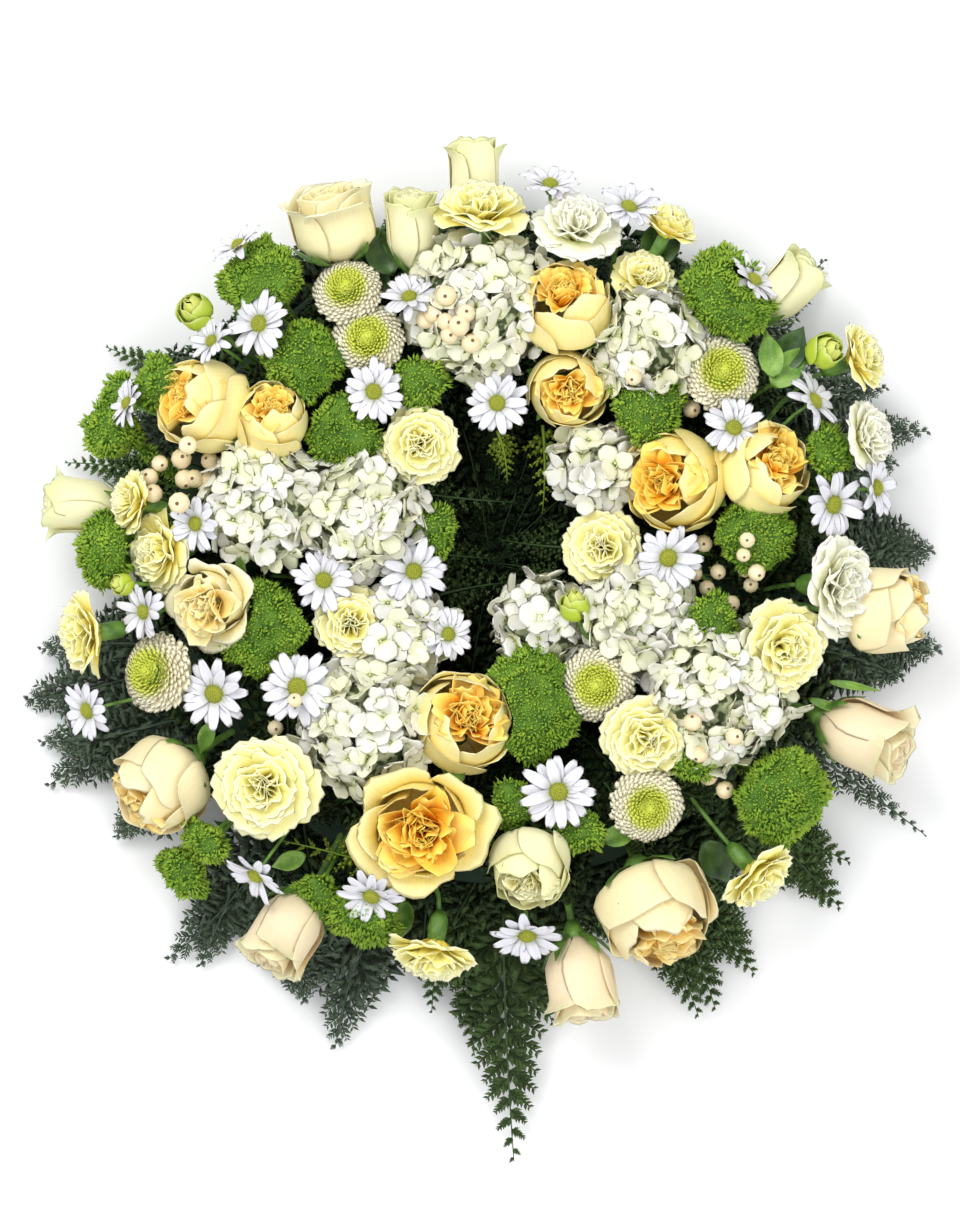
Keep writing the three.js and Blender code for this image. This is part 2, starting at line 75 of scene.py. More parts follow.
for name, place, size, power in (
    ("key_lamp", (-0.9, 1.1, 2.3), 1.2, 34),
    ("fill_lamp", (1.3, -0.9, 1.9), 1.6, 14),
):
    lamp_data = bpy.data.lights.new(name, "AREA")
    lamp_data.size, lamp_data.energy = size, power
    lamp = bpy.data.objects.new(name, lamp_data)
    lamp.location = Vector((*ring_middle, 0)) + Vector(place)
    lamp.rotation_euler = Vector(place).to_track_quat("Z", "Y").to_euler()
    bpy.context.collection.objects.link(lamp)

half_table = 4
table_corners = [(x * half_table, y * half_table, 0) for x, y in ((-1, -1), (1, -1), (1, 1), (-1, 1))]
table_mesh = bpy.data.meshes.new("table")
table_mesh.from_pydata(table_corners, [], [(0, 1, 2, 3)])
table = bpy.data.objects.new("table", table_mesh)
bpy.context.collection.objects.link(table)
pale = bpy.data.materials.new("pale_table")
pale.use_nodes = True
pale_skin = pale.node_tree.nodes["Principled BSDF"].inputs
pale_skin["Base Color"].default_value = (0.93, 0.93, 0.93, 1)
pale_skin["Roughness"].default_value = 0.85
table_mesh.materials.append(pale)

# ---- the ring tray and the foam ----------------------------------------------------------------------
# A moulded plastic tray holds a ring of wet floral foam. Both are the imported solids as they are, with
# a finish: satin plastic with a faint moulding grain, and dull foam full of fine cells.


class Value:
    """A shader socket in arithmetic: + - and * on it add Math nodes to its tree."""

    def __init__(self, finish, socket):
        self.finish, self.socket = finish, socket

    def maths(self, operation, *terms):
        return Value(self.finish, self.finish.add("Math", {"operation": operation}, terms).outputs[0])

    def __add__(self, other):
        return self.maths("ADD", self, other)

    def __sub__(self, other):
        return self.maths("SUBTRACT", self, other)

    def __rsub__(self, other):
        return self.maths("SUBTRACT", other, self)

    def __mul__(self, other):
        return self.maths("MULTIPLY", self, other)

    __radd__, __rmul__ = __add__, __mul__

    def above(self, start, end):
        """0 below start, 1 past end, and a smooth rise between them."""
        ramp = self.finish.add("MapRange", {"interpolation_type": "SMOOTHSTEP"}, (self, start, end))
        return Value(self.finish, ramp.outputs[0])


class Finish:
    """A material under construction. Its skin is the surface shader."""

    def __init__(self, name, **constants):
        self.material = bpy.data.materials.new(name)
        self.material.use_nodes = True
        self.tree = self.material.node_tree
        self.skin = self.tree.nodes["Principled BSDF"]
        for socket, value in constants.items():
            self.skin.inputs[socket.replace("_", " ")].default_value = value

    def add(self, kind, settings=None, inputs=()):
        """A new node: its settings first, then its sockets, by place or by name."""
        node = self.tree.nodes.new("ShaderNode" + kind)
        for setting, value in (settings or {}).items():
            setattr(node, setting, value)
        for key, value in inputs.items() if isinstance(inputs, dict) else enumerate(inputs):
            self.feed(node.inputs[key], value)
        return node

    def feed(self, socket, value):
        if isinstance(value, Value):
            self.tree.links.new(value.socket, socket)
        else:
            socket.default_value = value

    def noise(self, scale, detail, vector=None, stretch=(1, 1, 1)):
        """Noise from 0 to 1, in cycles a metre, on the piece's own coordinates or on a vector."""
        at = vector or Value(self, self.add("TexCoord").outputs["Object"])
        stretched = Value(self, self.add("VectorMath", {"operation": "MULTIPLY"}, (at, stretch)).outputs[0])
        texture = self.add("TexNoise", {}, {"Vector": stretched, "Scale": scale, "Detail": detail})
        return Value(self, texture.outputs["Fac"])

    def mix(self, share, first, second):
        """A colour between two colours."""
        node = self.add("Mix", {"data_type": "RGBA"}, {0: share, 6: first, 7: second})
        return Value(self, node.outputs[2])

    def looks(self):
        """The look kept on a mesh's points, its place along the petal, and its layer, which is 0 on the
        outermost petal or holds a tint."""
        look = Value(self, self.add("Attribute", {"attribute_name": "look"}).outputs["Vector"])
        parts = self.add("SeparateXYZ", {}, {0: look}).outputs
        return look, Value(self, parts[1]), Value(self, parts[2])

    def coloured(self, colour):
        self.feed(self.skin.inputs["Base Color"], colour)

    def bumped(self, height, distance):
        """Feeds the skin's normal with a relief of this height, distance in metres."""
        node = self.add("Bump", {}, {"Height": height, "Distance": distance})
        self.tree.links.new(node.outputs["Normal"], self.skin.inputs["Normal"])


def dress(node, finish):
    """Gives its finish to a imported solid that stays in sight."""
    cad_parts[node].material_slots[0].material = finish.material


plastic = Finish("tray_plastic", Roughness=0.42)
grain = plastic.noise(900, 3)
plastic.coloured(plastic.mix(grain, (0.008, 0.03, 0.014, 1), (0.016, 0.05, 0.024, 1)))
plastic.bumped(grain, 0.2 * MM)
dress("foam_tray", plastic)

wet_foam = Finish("wet_foam", Roughness=0.9)
cells = wet_foam.noise(1500, 4)
blotches = wet_foam.noise(40, 2)
crumbly = blotches * 0.5 + cells * 0.5
wet_foam.coloured(wet_foam.mix(crumbly, (0.004, 0.014, 0.006, 1), (0.016, 0.05, 0.02, 1)))
wet_foam.bumped(cells, 0.6 * MM)
dress("foam_ring", wet_foam)

# ---- the roses ---------------------------------------------------------------------------------------
# Garden roses and long hybrid roses. Each is a whorl of outer petals round a heart, which is a tight
# spiral in a bud, and folded and ruffled in a garden rose. A bent stem carries it out of the foam.

GOLDEN = np.pi * (3 - 5**0.5)


def packed(node):
    """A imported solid's corners, its triangles as numbers of corners, and the triangles' centres, normals
    and areas, all in metres."""
    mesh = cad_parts[node].data
    columns = []
    for rows, name, width, kind in (
        (mesh.vertices, "co", 3, float), (mesh.loops, "vertex_index", 1, int),
        (mesh.polygons, "center", 3, float), (mesh.polygons, "normal", 3, float),
        (mesh.polygons, "area", 1, float),
    ):
        column = np.empty(len(rows) * width, kind)
        rows.foreach_get(name, column)
        columns.append(column if name == "area" else column.reshape(-1, 3))
    return columns


def middle_of(node, near=None, reach=40):
    """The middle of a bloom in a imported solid, and the foot of its stem. The middle is the mean of the
    triangles' centres by area, over those that lie within reach of a rough place on the plan, or that
    don't touch the foot."""
    corners, _, centres, _, areas = packed(node)
    foot_slice, foot_size = 3 * MM, 12 * MM
    foot = corners[corners[:, 2] < corners[:, 2].min() + foot_slice].mean(0)
    if near is None:
        kept = np.linalg.norm(centres - foot, axis=1) > foot_size
    else:
        kept = np.linalg.norm(centres[:, :2] - on_plan(*near), axis=1) < reach * MM
    return (centres[kept] * areas[kept, None]).sum(0) / areas[kept].sum(), foot


def turned(points, middle, faces, tilt, spin=0):
    """Points in millimetres round +Z, spun, tilted from straight up, and turned to face the way given in
    degrees from +X, then moved to their middle in metres."""
    tilt, faces, spin = np.radians([tilt, faces, spin])

    def about_z(angle):
        return np.array([[np.cos(angle), -np.sin(angle), 0], [np.sin(angle), np.cos(angle), 0], [0, 0, 1]])

    lean = np.array([[np.cos(tilt), 0, np.sin(tilt)], [0, 1, 0], [-np.sin(tilt), 0, np.cos(tilt)]])
    return points @ (about_z(faces) @ lean @ about_z(spin)).T * MM + middle


def set_down(part, drop, middle, faces, tilt, spin=0):
    """A part in millimetres round +Z, lowered by drop and turned into its place."""
    points, quads, looks = part
    return turned(points - (0, 0, drop), middle, faces, tilt, spin), quads, looks


def unit(vectors):
    """The same directions, each one long."""
    return vectors / (np.linalg.norm(vectors, axis=-1, keepdims=True) + 1e-9)


def each(count, *values):
    """Values for count petals, against a petal's rows and columns."""
    return [np.broadcast_to(np.asarray(value, float), count)[:, None, None] for value in values]


def repeated(faces, count, step):
    """The faces of one shape for count copies of it, of step points each."""
    return (faces + np.arange(count)[:, None, None] * step).reshape(-1, faces.shape[-1])


def joined(*parts):
    """Several (points, faces, looks) as one. A face of three corners gives its last one twice."""
    points, faces, looks = zip(*parts)
    offsets = np.cumsum([0] + [len(block) for block in points[:-1]])
    faces = [block + offset for block, offset in zip(faces, offsets)]
    return np.concatenate(points), np.concatenate(faces), np.concatenate(looks)


def piece(name, part, finish, slot, *nodes, smooth=True):
    """A named object from points in metres, faces and looks, that rides on the wreath."""
    points, faces, looks = part
    square = faces[:, 3] != faces[:, 2]
    corners = np.concatenate([faces[square].ravel(), faces[~square][:, :3].ravel()])
    starts = np.concatenate([np.arange(square.sum()) * 4, square.sum() * 4 + np.arange((~square).sum()) * 3])
    mesh = bpy.data.meshes.new(name)
    mesh.vertices.add(len(points))
    mesh.vertices.foreach_set("co", points.ravel())
    mesh.loops.add(len(corners))
    mesh.loops.foreach_set("vertex_index", corners.astype(np.int32))
    mesh.polygons.add(len(starts))
    mesh.polygons.foreach_set("loop_start", starts.astype(np.int32))
    mesh.update(calc_edges=True)
    mesh.attributes.new("look", "FLOAT_VECTOR", "POINT").data.foreach_set("vector", looks.ravel())
    if smooth:
        mesh.shade_smooth()
    mesh.materials.append(finish.material)
    made = bpy.data.objects.new(name, mesh)
    bpy.context.collection.objects.link(made)
    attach(made, "root")
    if nodes:
        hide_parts(*nodes)


def sheet_grid(rows, columns, rim=0.045):
    """u from -1 to 1 across and v from 0 to 1 along, with narrow steps at the rim so that it looks thin."""
    inner = np.linspace(2 * rim - 1, 1 - 2 * rim, columns - 2) if columns > 3 else [0]
    u = np.concatenate([[-1], inner, [1]])
    v = np.concatenate([[0], np.linspace(1 / rows, 1 - rim, rows - 2), [1]])
    return u[None, None, :], v[None, :, None]


def closed_sheets(places, u, v, layer, thick=0.35):
    """Thin closed petals from the x, y and z of their fronts, each over (petals, rows, columns). The back
    lies thick behind the front, and both share the rim. The looks are u and v from 0 to 1, and layer.
    Returns points, faces and looks."""
    front = np.stack(np.broadcast_arrays(*places), -1)
    look = np.stack(np.broadcast_arrays((u + 1) / 2, v, layer, front[..., 0])[:3], -1)
    petals, rows, columns, _ = front.shape
    normal = unit(np.cross(np.gradient(front, axis=2), np.gradient(front, axis=1)))
    inside = (slice(None), slice(1, -1), slice(1, -1))
    points, looks = (
        np.concatenate([outer.reshape(petals, -1, 3), inner[inside].reshape(petals, -1, 3)], 1)
        for outer, inner in ((front, front - thick * normal), (look, look))
    )
    front_index = np.arange(rows * columns).reshape(rows, columns)
    back_index = front_index.copy()
    back_index[1:-1, 1:-1] = np.arange((rows - 2) * (columns - 2)).reshape(rows - 2, -1) + rows * columns

    def quads(index):
        return np.stack([index[:-1, :-1], index[:-1, 1:], index[1:, 1:], index[1:, :-1]], -1).reshape(-1, 4)

    faces = np.concatenate([quads(front_index), quads(back_index)[:, ::-1]])
    return points.reshape(-1, 3), repeated(faces, petals, points.shape[1]), looks.reshape(-1, 3)


def wrapped_petals(rows, columns, belly, tall, span, turn, flare, roll, wave, layer, swell_by,
                   flare_from=0.45):
    """Petals wrapped round +Z. Up a petal (v) the radius swells as a sine to the belly, and further up
    it flares out or in. Its rim is lower at the two sides (u), rolls back, and waves. All sizes are in
    millimetres, one for each petal."""
    count = len(turn)
    u, v = sheet_grid(rows, columns)
    belly, tall, span, turn, flare, roll, wave, layer = each(
        count, belly, tall, span, turn, flare, roll, wave, layer)
    phase = rng.uniform(0, 2 * np.pi, (3, count, 1, 1))
    rise = v * (1 - 0.14 * np.abs(u) ** 2.8 - 0.03 * np.sin(5 * u + phase[0]) * v)
    swell = np.sin(np.pi / 2 * np.clip(rise / swell_by, 0, 1))
    late = np.clip(rise - flare_from, 0, 1) / (1 - flare_from)
    rim = np.clip(rise - 0.72, 0, 1) / 0.28
    ripple = wave * (np.sin(3.1 * u + phase[1]) + 0.5 * np.sin(7.3 * u + phase[2])) * v**3
    radius = belly * (0.14 + 0.86 * swell) * (1 + 0.08 * u) + flare * late**2 + roll * rim**2 + ripple
    angle = turn + span * u * (0.4 + 0.6 * np.sin(np.pi / 2 * np.clip(v / 0.5, 0, 1))) * (1 - 0.22 * v**5)
    height = tall * rise - 0.7 * roll * rim**3 + 0.3 * ripple
    return closed_sheets((radius * np.cos(angle), radius * np.sin(angle), height), u, v, layer)


def fan_petals(rows, columns, turn, start, lean, bend, length, half_width, reach, power, cup, crumple=0.0,
               waves=1.0, teeth=0.0, rounded=0.0, layer=0.5, rim=0.045, thick=0.35):
    """Petals that grow out round +Z. Up a petal (v) its middle line starts at (radius, height), leans from
    straight up by lean and bends over by bend, in radians. Its half width follows a sine between the two
    angles in reach, in half turns, raised to a power. Across it (u) it cups, and it crumples more towards
    the rim, which is rounded and cut into teeth. Values are in millimetres, one for each petal."""
    count = len(turn)
    u, v = sheet_grid(rows, columns, rim)
    turn, lean, bend, length, half_width, crumple, cup, layer, out, up = each(
        count, turn, lean, bend, length, half_width, crumple, cup, layer, *start)
    phase = rng.uniform(0, 2 * np.pi, (2, count, 1, 1))
    bend = np.where(np.abs(bend) < 1e-3, 1e-3, bend)
    angle = lean + bend * v
    tooth = np.abs((u * columns / 2.01 + phase[0]) % 2 - 1) - 0.5
    cut = length * (1 - rounded * u**2 * v + teeth * tooth * v**8)
    ripple = crumple * v**1.5 * (np.sin(waves * u + phase[0]) + 0.6 * np.sin(1.9 * waves * u + phase[1]))
    width = half_width * np.sin(np.pi * (reach[0] + (reach[1] - reach[0]) * v)) ** power
    lift = cup * width * u**2 + ripple
    radius = out + cut * (np.cos(lean) - np.cos(angle)) / bend - lift * np.cos(angle)
    height = up + cut * (np.sin(angle) - np.sin(lean)) / bend + lift * np.sin(angle)
    across = width * u
    x = radius * np.cos(turn) - across * np.sin(turn)
    y = radius * np.sin(turn) + across * np.cos(turn)
    return closed_sheets((x, y, height), u, v, layer, thick)


def whorl(count, outer, inner):
    """Values that run from the outermost petal's to the innermost's."""
    return outer + (inner - outer) * np.linspace(0, 1, count)


def rose_bud(wide, tall):
    """A long bud: loose outer petals with rolled rims round a spiral that closes to a point."""
    half, outer, inner = wide / 2, 5, 13
    loose = wrapped_petals(
        9, 9, turn=np.arange(outer) * GOLDEN * 1.02, span=whorl(outer, 0.95, 1.2),
        tall=tall * whorl(outer, 0.92, 1),
        belly=half * whorl(outer, 0.94, 0.86), flare=half * whorl(outer, 0.2, -0.1), wave=half * 0.05,
        roll=half * whorl(outer, 0.26, 0.12), layer=whorl(outer, 0, 0.2), swell_by=0.42, flare_from=0.7,
    )
    spiral = wrapped_petals(
        8, 9, turn=np.arange(inner) * GOLDEN + 0.5, span=whorl(inner, 1.3, 2.2),
        tall=tall * whorl(inner, 1, 0.95),
        belly=half * whorl(inner, 0.76, 0.14), flare=half * whorl(inner, -0.08, -0.1), wave=half * 0.03,
        roll=half * whorl(inner, 0.14, 0), layer=whorl(inner, 0.3, 1), swell_by=0.42,
    )
    return joined(loose, spiral)


def rose_heart(wide, tall):
    """Chunky folded and ruffled petals that burst from the middle of a garden rose in a dome."""
    count = 34
    s = whorl(count, 0, 1)
    return fan_petals(
        8, 9, start=(wide * 0.14 * (1 - s), tall * 0.6),
        turn=np.arange(count) * GOLDEN + rng.normal(0, 0.4, count),
        lean=0.66 - 0.75 * s + rng.normal(0, 0.16, count), bend=0.75 - 0.75 * s + rng.normal(0, 0.25, count),
        length=(wide * 0.42 * (1 - s) + tall * 0.37 * s) * rng.normal(1, 0.07, count),
        half_width=wide * (0.2 - 0.08 * s), reach=(0.12, 0.88), power=0.6, crumple=wide * (0.04 + 0.02 * s),
        waves=2.8, cup=rng.normal(0.55, 0.45, count), layer=0.5 + 0.5 * s,
    )


def rose_cup(wide, tall):
    """A garden rose: smooth broad petals that close over like an egg round the ruffled heart."""
    half, count = wide / 2, 9
    share = whorl(count, 0.68, 1)
    egg = wrapped_petals(
        10, 11, belly=half * whorl(count, 1, 0.88), tall=tall * share, span=whorl(count, 1.0, 0.9),
        turn=np.arange(count) * GOLDEN, flare=half * (0.03 - 0.5 * ((share - 0.45) / 0.55) ** 2),
        roll=half * whorl(count, 0.1, 0.04), wave=half * 0.03, layer=whorl(count, 0, 0.4), swell_by=0.42,
    )
    return joined(egg, rose_heart(wide * 0.84, tall * 0.93))


def rose_open(wide, tall):
    """A garden rose blown open: guard petals spread out flat, and a few cupped ones hold the heart."""
    half, count = wide / 2, 6
    guards = wrapped_petals(
        10, 11, belly=half * 0.68, tall=tall * whorl(count, 0.66, 0.84), span=whorl(count, 1.0, 0.8),
        turn=np.arange(count) * GOLDEN, flare=half * whorl(count, 0.34, 0.14), roll=half * 0.14,
        wave=half * 0.05, layer=whorl(count, 0, 0.2), swell_by=0.5,
    )
    cup = wrapped_petals(
        9, 9, belly=half * whorl(count, 0.72, 0.64), tall=tall * whorl(count, 0.86, 0.94), span=0.86,
        turn=np.arange(count) * GOLDEN + 2, flare=half * -0.06, roll=half * 0.08, wave=half * 0.05,
        layer=whorl(count, 0.25, 0.45), swell_by=0.45,
    )
    return joined(guards, cup, rose_heart(wide * 0.84, tall))


def petal_finish(name, outside, inside, fold, tip):
    """Petal skin: one colour on the outer petals, in the heart a deep one that lightens up its folds, and
    another along the outer rims, with fine lengthwise veins and a cloudy tone."""
    finish = Finish(name, Roughness=0.5, Specular_IOR_Level=0.3)
    veins = 0.05
    look, along, layer = finish.looks()
    vein = finish.noise(1, 3, look, (60, 3, 40))
    cloud = finish.noise(60, 3)
    heart = (layer + cloud * 0.3 - 0.15).above(0.3, 0.64)
    ruffles = finish.mix(along.above(0.4, 1.0), inside, fold)
    body = finish.mix(heart, outside, ruffles)
    rimmed = finish.mix((along + vein * 0.16).above(0.86, 1.12) * 0.8 * (1 - heart * 0.85), body, tip)
    shade = 1 - veins * 2 + vein * veins * 4
    toned = finish.add("VectorMath", {"operation": "SCALE"}, {0: rimmed, "Scale": shade})
    finish.coloured(Value(finish, toned.outputs[0]))
    finish.bumped(vein, 0.15 * MM)
    return finish


# colour: outside, inside the heart, up its folds, and along the outer rims.
rose_finishes = {
    colour: petal_finish("rose_petal_" + colour, *tones)
    for colour, *tones in (
        ("amber", (0.93, 0.78, 0.28, 1), (1.0, 0.49, 0.015, 1), (1.0, 0.72, 0.11, 1), (0.94, 0.85, 0.44, 1)),
        ("butter", (0.93, 0.80, 0.34, 1), (1.0, 0.51, 0.02, 1), (1.0, 0.75, 0.15, 1), (0.94, 0.86, 0.50, 1)),
        ("cream", (0.88, 0.76, 0.45, 1), (1.0, 0.56, 0.06, 1), (0.98, 0.78, 0.30, 1), (0.88, 0.80, 0.52, 1)),
        ("ivory", (0.84, 0.80, 0.49, 1), (0.92, 0.84, 0.36, 1), (0.92, 0.88, 0.56, 1), (0.80, 0.85, 0.42, 1)),
        ("primrose", (0.88, 0.79, 0.45, 1), (1.0, 0.76, 0.24, 1), (0.98, 0.88, 0.48, 1),
         (0.95, 0.91, 0.68, 1)),
        ("blush", (0.88, 0.73, 0.49, 1), (1.0, 0.70, 0.34, 1), (0.97, 0.82, 0.54, 1), (0.88, 0.88, 0.54, 1)),
    )
}


def tube_faces(rings, first, last):
    """Closed skin over rings of points, with a fan on each end."""
    count, sides, _ = rings.shape
    points = np.concatenate([rings.reshape(-1, 3), [first, last]])
    index = np.arange(count * sides).reshape(count, sides)
    nexts = np.roll(index, -1, 1)
    walls = np.stack([index[:-1], nexts[:-1], nexts[1:], index[1:]], -1).reshape(-1, 4)
    low, high = np.full(sides, count * sides), np.full(sides, count * sides + 1)
    caps = np.concatenate([np.stack([low, nexts[0], index[0], index[0]], -1),
                           np.stack([high, index[-1], nexts[-1], nexts[-1]], -1)])
    return points, np.concatenate([walls, caps]), np.tile([0.5, 0.5, 0], (len(points), 1))


def revolved(profile, sides):
    """A solid of revolution round +Z from (radius, height) pairs that start and end on the axis."""
    radius, height = np.array(profile, float)[1:-1].T
    angle = np.arange(sides) * 2 * np.pi / sides
    rings = np.stack([radius[:, None] * np.cos(angle), radius[:, None] * np.sin(angle),
                      np.broadcast_to(height[:, None], (len(radius), sides))], -1)
    return tube_faces(rings, [0, 0, profile[0][1]], [0, 0, profile[-1][1]])


def hip(radius, tall):
    """The swollen green cup under a rose."""
    return revolved([(0, -tall * 0.6), (radius * 0.5, -tall * 0.55), (radius, 0), (radius * 1.1, tall * 0.3),
                     (radius * 0.6, tall * 0.6), (0, tall * 0.6)], 10)


def sepals_round(wide, tall):
    """Five narrow pointed sepals that hug the lowest part of a bloom."""
    u, v = sheet_grid(6, 5)
    turn = (np.arange(5) * 2 * np.pi / 5)[:, None, None]
    radius = wide * (0.08 + 0.36 * np.sin(np.pi / 2 * np.clip(v * 1.4, 0, 1)) + 0.12 * v**4)
    angle = turn + 0.3 * u * (1 - v**1.5)
    return closed_sheets((radius * np.cos(angle), radius * np.sin(angle), tall * 0.34 * v - 1), u, v, 0)


def swept(path, thick, sides=6):
    """A round stalk along a path of points in metres. Its rings stand square to the path."""
    along = unit(np.gradient(path, axis=0))
    side = unit(np.cross(along, [0.31, 0.27, 0.09]))
    other = np.cross(along, side)
    angle = (np.arange(sides) * 2 * np.pi / sides)[:, None]
    ring = side[:, None] * np.cos(angle) + other[:, None] * np.sin(angle)
    thick = np.broadcast_to(thick, len(path))[:, None, None]
    return tube_faces(path[:, None] + ring * thick * MM, path[0], path[-1])


def stem(foot, middle, drop, faces, tilt, thick, steps=9):
    """A stalk on a cubic curve from its foot up to a bloom, where it arrives along the bloom's axis, drop
    millimetres below its middle."""
    base = turned(np.array([[0, 0, -drop]]), middle, faces, tilt)[0]
    tilt, faces = np.radians([tilt, faces])
    axis = np.array([np.sin(tilt) * np.cos(faces), np.sin(tilt) * np.sin(faces), np.cos(tilt)])
    span = np.linalg.norm(base - foot)
    t = np.linspace(0, 1, steps)[:, None]
    bends = foot, foot + np.array([0, 0, 0.3]) * span, base - 0.4 * span * axis, base + 5 * MM * axis
    shares = (1 - t) ** 3, 3 * t * (1 - t) ** 2, 3 * t**2 * (1 - t), t**3
    return swept(sum(share * bend for share, bend in zip(shares, bends)), thick)


def leaf_finish(name, dark, light, gloss=0.45):
    """Leaf skin: a darker and a lighter green in cloudy patches, with fine raised grain."""
    finish = Finish(name, Roughness=gloss)
    fine = finish.noise(1100, 2)
    cloud = finish.noise(90, 3)
    finish.coloured(finish.mix((cloud * 0.7 + fine * 0.3).above(0.32, 0.7), dark, light))
    finish.bumped(fine, 0.2 * MM)
    return finish


leaf_green = leaf_finish("stem_and_leaf", (0.06, 0.15, 0.02, 1), (0.2, 0.38, 0.07, 1))
rose_shapes = {"bud": rose_bud, "cup": rose_cup, "open": rose_open}

# node: finish, shape, width, height, and the way it looks: degrees from +X, and from straight up.
for node, colour, shape, wide, tall, faces, tilt in (
    ("rose_bud_north", "ivory", "bud", 36, 62, 90, 84),
    ("rose_cup_northwest", "primrose", "bud", 64, 58, 104, 74),
    ("rose_bud_northwest", "ivory", "bud", 38, 60, 92, 72),
    ("garden_rose_north", "butter", "cup", 64, 58, 92, 38),
    ("garden_rose_north_inner", "butter", "cup", 56, 48, 300, 12),
    ("garden_rose_west_upper", "butter", "cup", 66, 62, 165, 46),
    ("garden_rose_west_inner", "butter", "cup", 52, 50, 85, 34),
    ("rose_bud_west", "ivory", "bud", 40, 62, 174, 84),
    ("rose_west", "primrose", "open", 64, 48, 205, 30),
    ("rose_cup_southwest", "cream", "cup", 66, 68, 220, 64),
    ("rose_bud_southwest", "blush", "bud", 50, 66, 238, 72),
    ("garden_rose_south_inner", "butter", "cup", 72, 58, 40, 20),
    ("garden_rose_south", "amber", "open", 92, 60, 270, 10),
    ("rose_south", "ivory", "cup", 56, 58, 262, 46),
    ("rose_bud_south", "blush", "bud", 50, 66, 280, 80),
    ("rose_cup_southeast", "cream", "cup", 80, 74, 292, 58),
    ("garden_rose_east_inner", "amber", "cup", 72, 58, 190, 24),
    ("rose_cup_east_upper", "butter", "cup", 66, 56, 30, 42),
    ("rose_bud_east_lower", "blush", "bud", 50, 72, 335, 68),
    ("rose_cup_east", "cream", "cup", 62, 66, 0, 76),
    ("rose_bud_northeast", "ivory", "bud", 38, 60, 45, 80),
):
    bloom = rose_shapes[shape](wide, tall)
    middle, foot = middle_of(node)
    petals = set_down(bloom, tall / 2, middle, faces, tilt, rng.uniform(0, 360))
    piece(node + "_petals", petals, rose_finishes[colour], "rose_petals", node)
    greens = joined(hip(wide * 0.16, tall * 0.22), sepals_round(wide, tall))
    greens = set_down(greens, tall / 2, middle, faces, tilt)
    stalk = stem(foot, middle, tall * 0.6, faces, tilt, thick=2.6)
    piece(node + "_stem", joined(greens, stalk), leaf_green, "leaf")


# ---- the carnations ----------------------------------------------------------------------------------
# Spray carnations: a green tube of a calyx, and thirty-six fan-shaped petals that burst out of its
# mouth in a dome. Each petal is crumpled, and its rim is cut into fine teeth.


def carnation(wide, tall):
    """Rings of petals from flat at the outside to upright in the middle."""
    count = 36
    s = whorl(count, 0, 1)
    return fan_petals(
        7, 11, start=(wide * 0.05 * (1 - s), tall * 0.4),
        turn=np.arange(count) * GOLDEN + rng.normal(0, 0.2, count),
        lean=0.75 - 0.84 * s + rng.normal(0, 0.08, count), bend=1.05 - 1.1 * s + rng.normal(0, 0.16, count),
        length=wide * 0.53 * (1 - s) + tall * 0.57 * s, half_width=wide * (0.28 - 0.12 * s),
        power=0.8, cup=0.1,
        reach=(0.05, 0.6), crumple=wide * (0.022 + 0.025 * s), waves=3.4, teeth=0.11, rounded=0.18, layer=s,
    )


def carnation_calyx(wide, tall):
    """The green tube under a carnation, whose mouth the petals hide."""
    tube, half = tall * 0.45, wide * 0.11
    return revolved([(0, -1), (half * 0.55, 0), (half * 0.95, tube * 0.25), (half, tube * 0.6),
                     (half * 0.9, tube), (0, tube)], 12)


def ruffle_finish(name, heart, body, rim):
    """Carnation petal: deeper at the heart, paler along the toothed rim, with soft lengthwise streaks."""
    finish = Finish(name, Roughness=0.6)
    look, along, layer = finish.looks()
    streak = finish.noise(1, 3, look, (40, 2, 30))
    inner = finish.mix((along + layer * 0.2 + streak * 0.2).above(0.4, 0.95), heart, body)
    finish.coloured(finish.mix((along + streak * 0.2).above(0.94, 1.18), inner, rim))
    finish.bumped(streak, 0.2 * MM)
    return finish


# colour: heart, body and rim.
carnation_finishes = {
    colour: ruffle_finish("carnation_petal_" + colour, *tones)
    for colour, *tones in (
        ("lemon", (1.0, 0.84, 0.14, 1), (1.0, 0.94, 0.42, 1), (0.96, 0.95, 0.74, 1)),
        ("white", (0.90, 0.90, 0.52, 1), (0.95, 0.94, 0.76, 1), (0.93, 0.92, 0.86, 1)),
    )
}


def plant_blooms(name, node, blooms, flower, greenery, rise, thick):
    """The petals of blooms on one branched stem, whose greens and stalks become a piece. rise is how far
    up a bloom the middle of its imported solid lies."""
    petals, greens = [], []
    for x, y, wide, tall, faces, tilt in blooms:
        middle, foot = middle_of(node, (x, y), wide / 2)
        spin = rng.uniform(0, 360)
        for part, kept in ((flower(wide, tall), petals), (greenery(wide, tall), greens)):
            kept.append(set_down(part, tall * rise, middle, faces, tilt, spin))
        greens.append(stem(foot, middle, tall * rise, faces, tilt, thick))
    piece(name + "_stems", joined(*greens), leaf_green, "leaf")
    return joined(*petals)


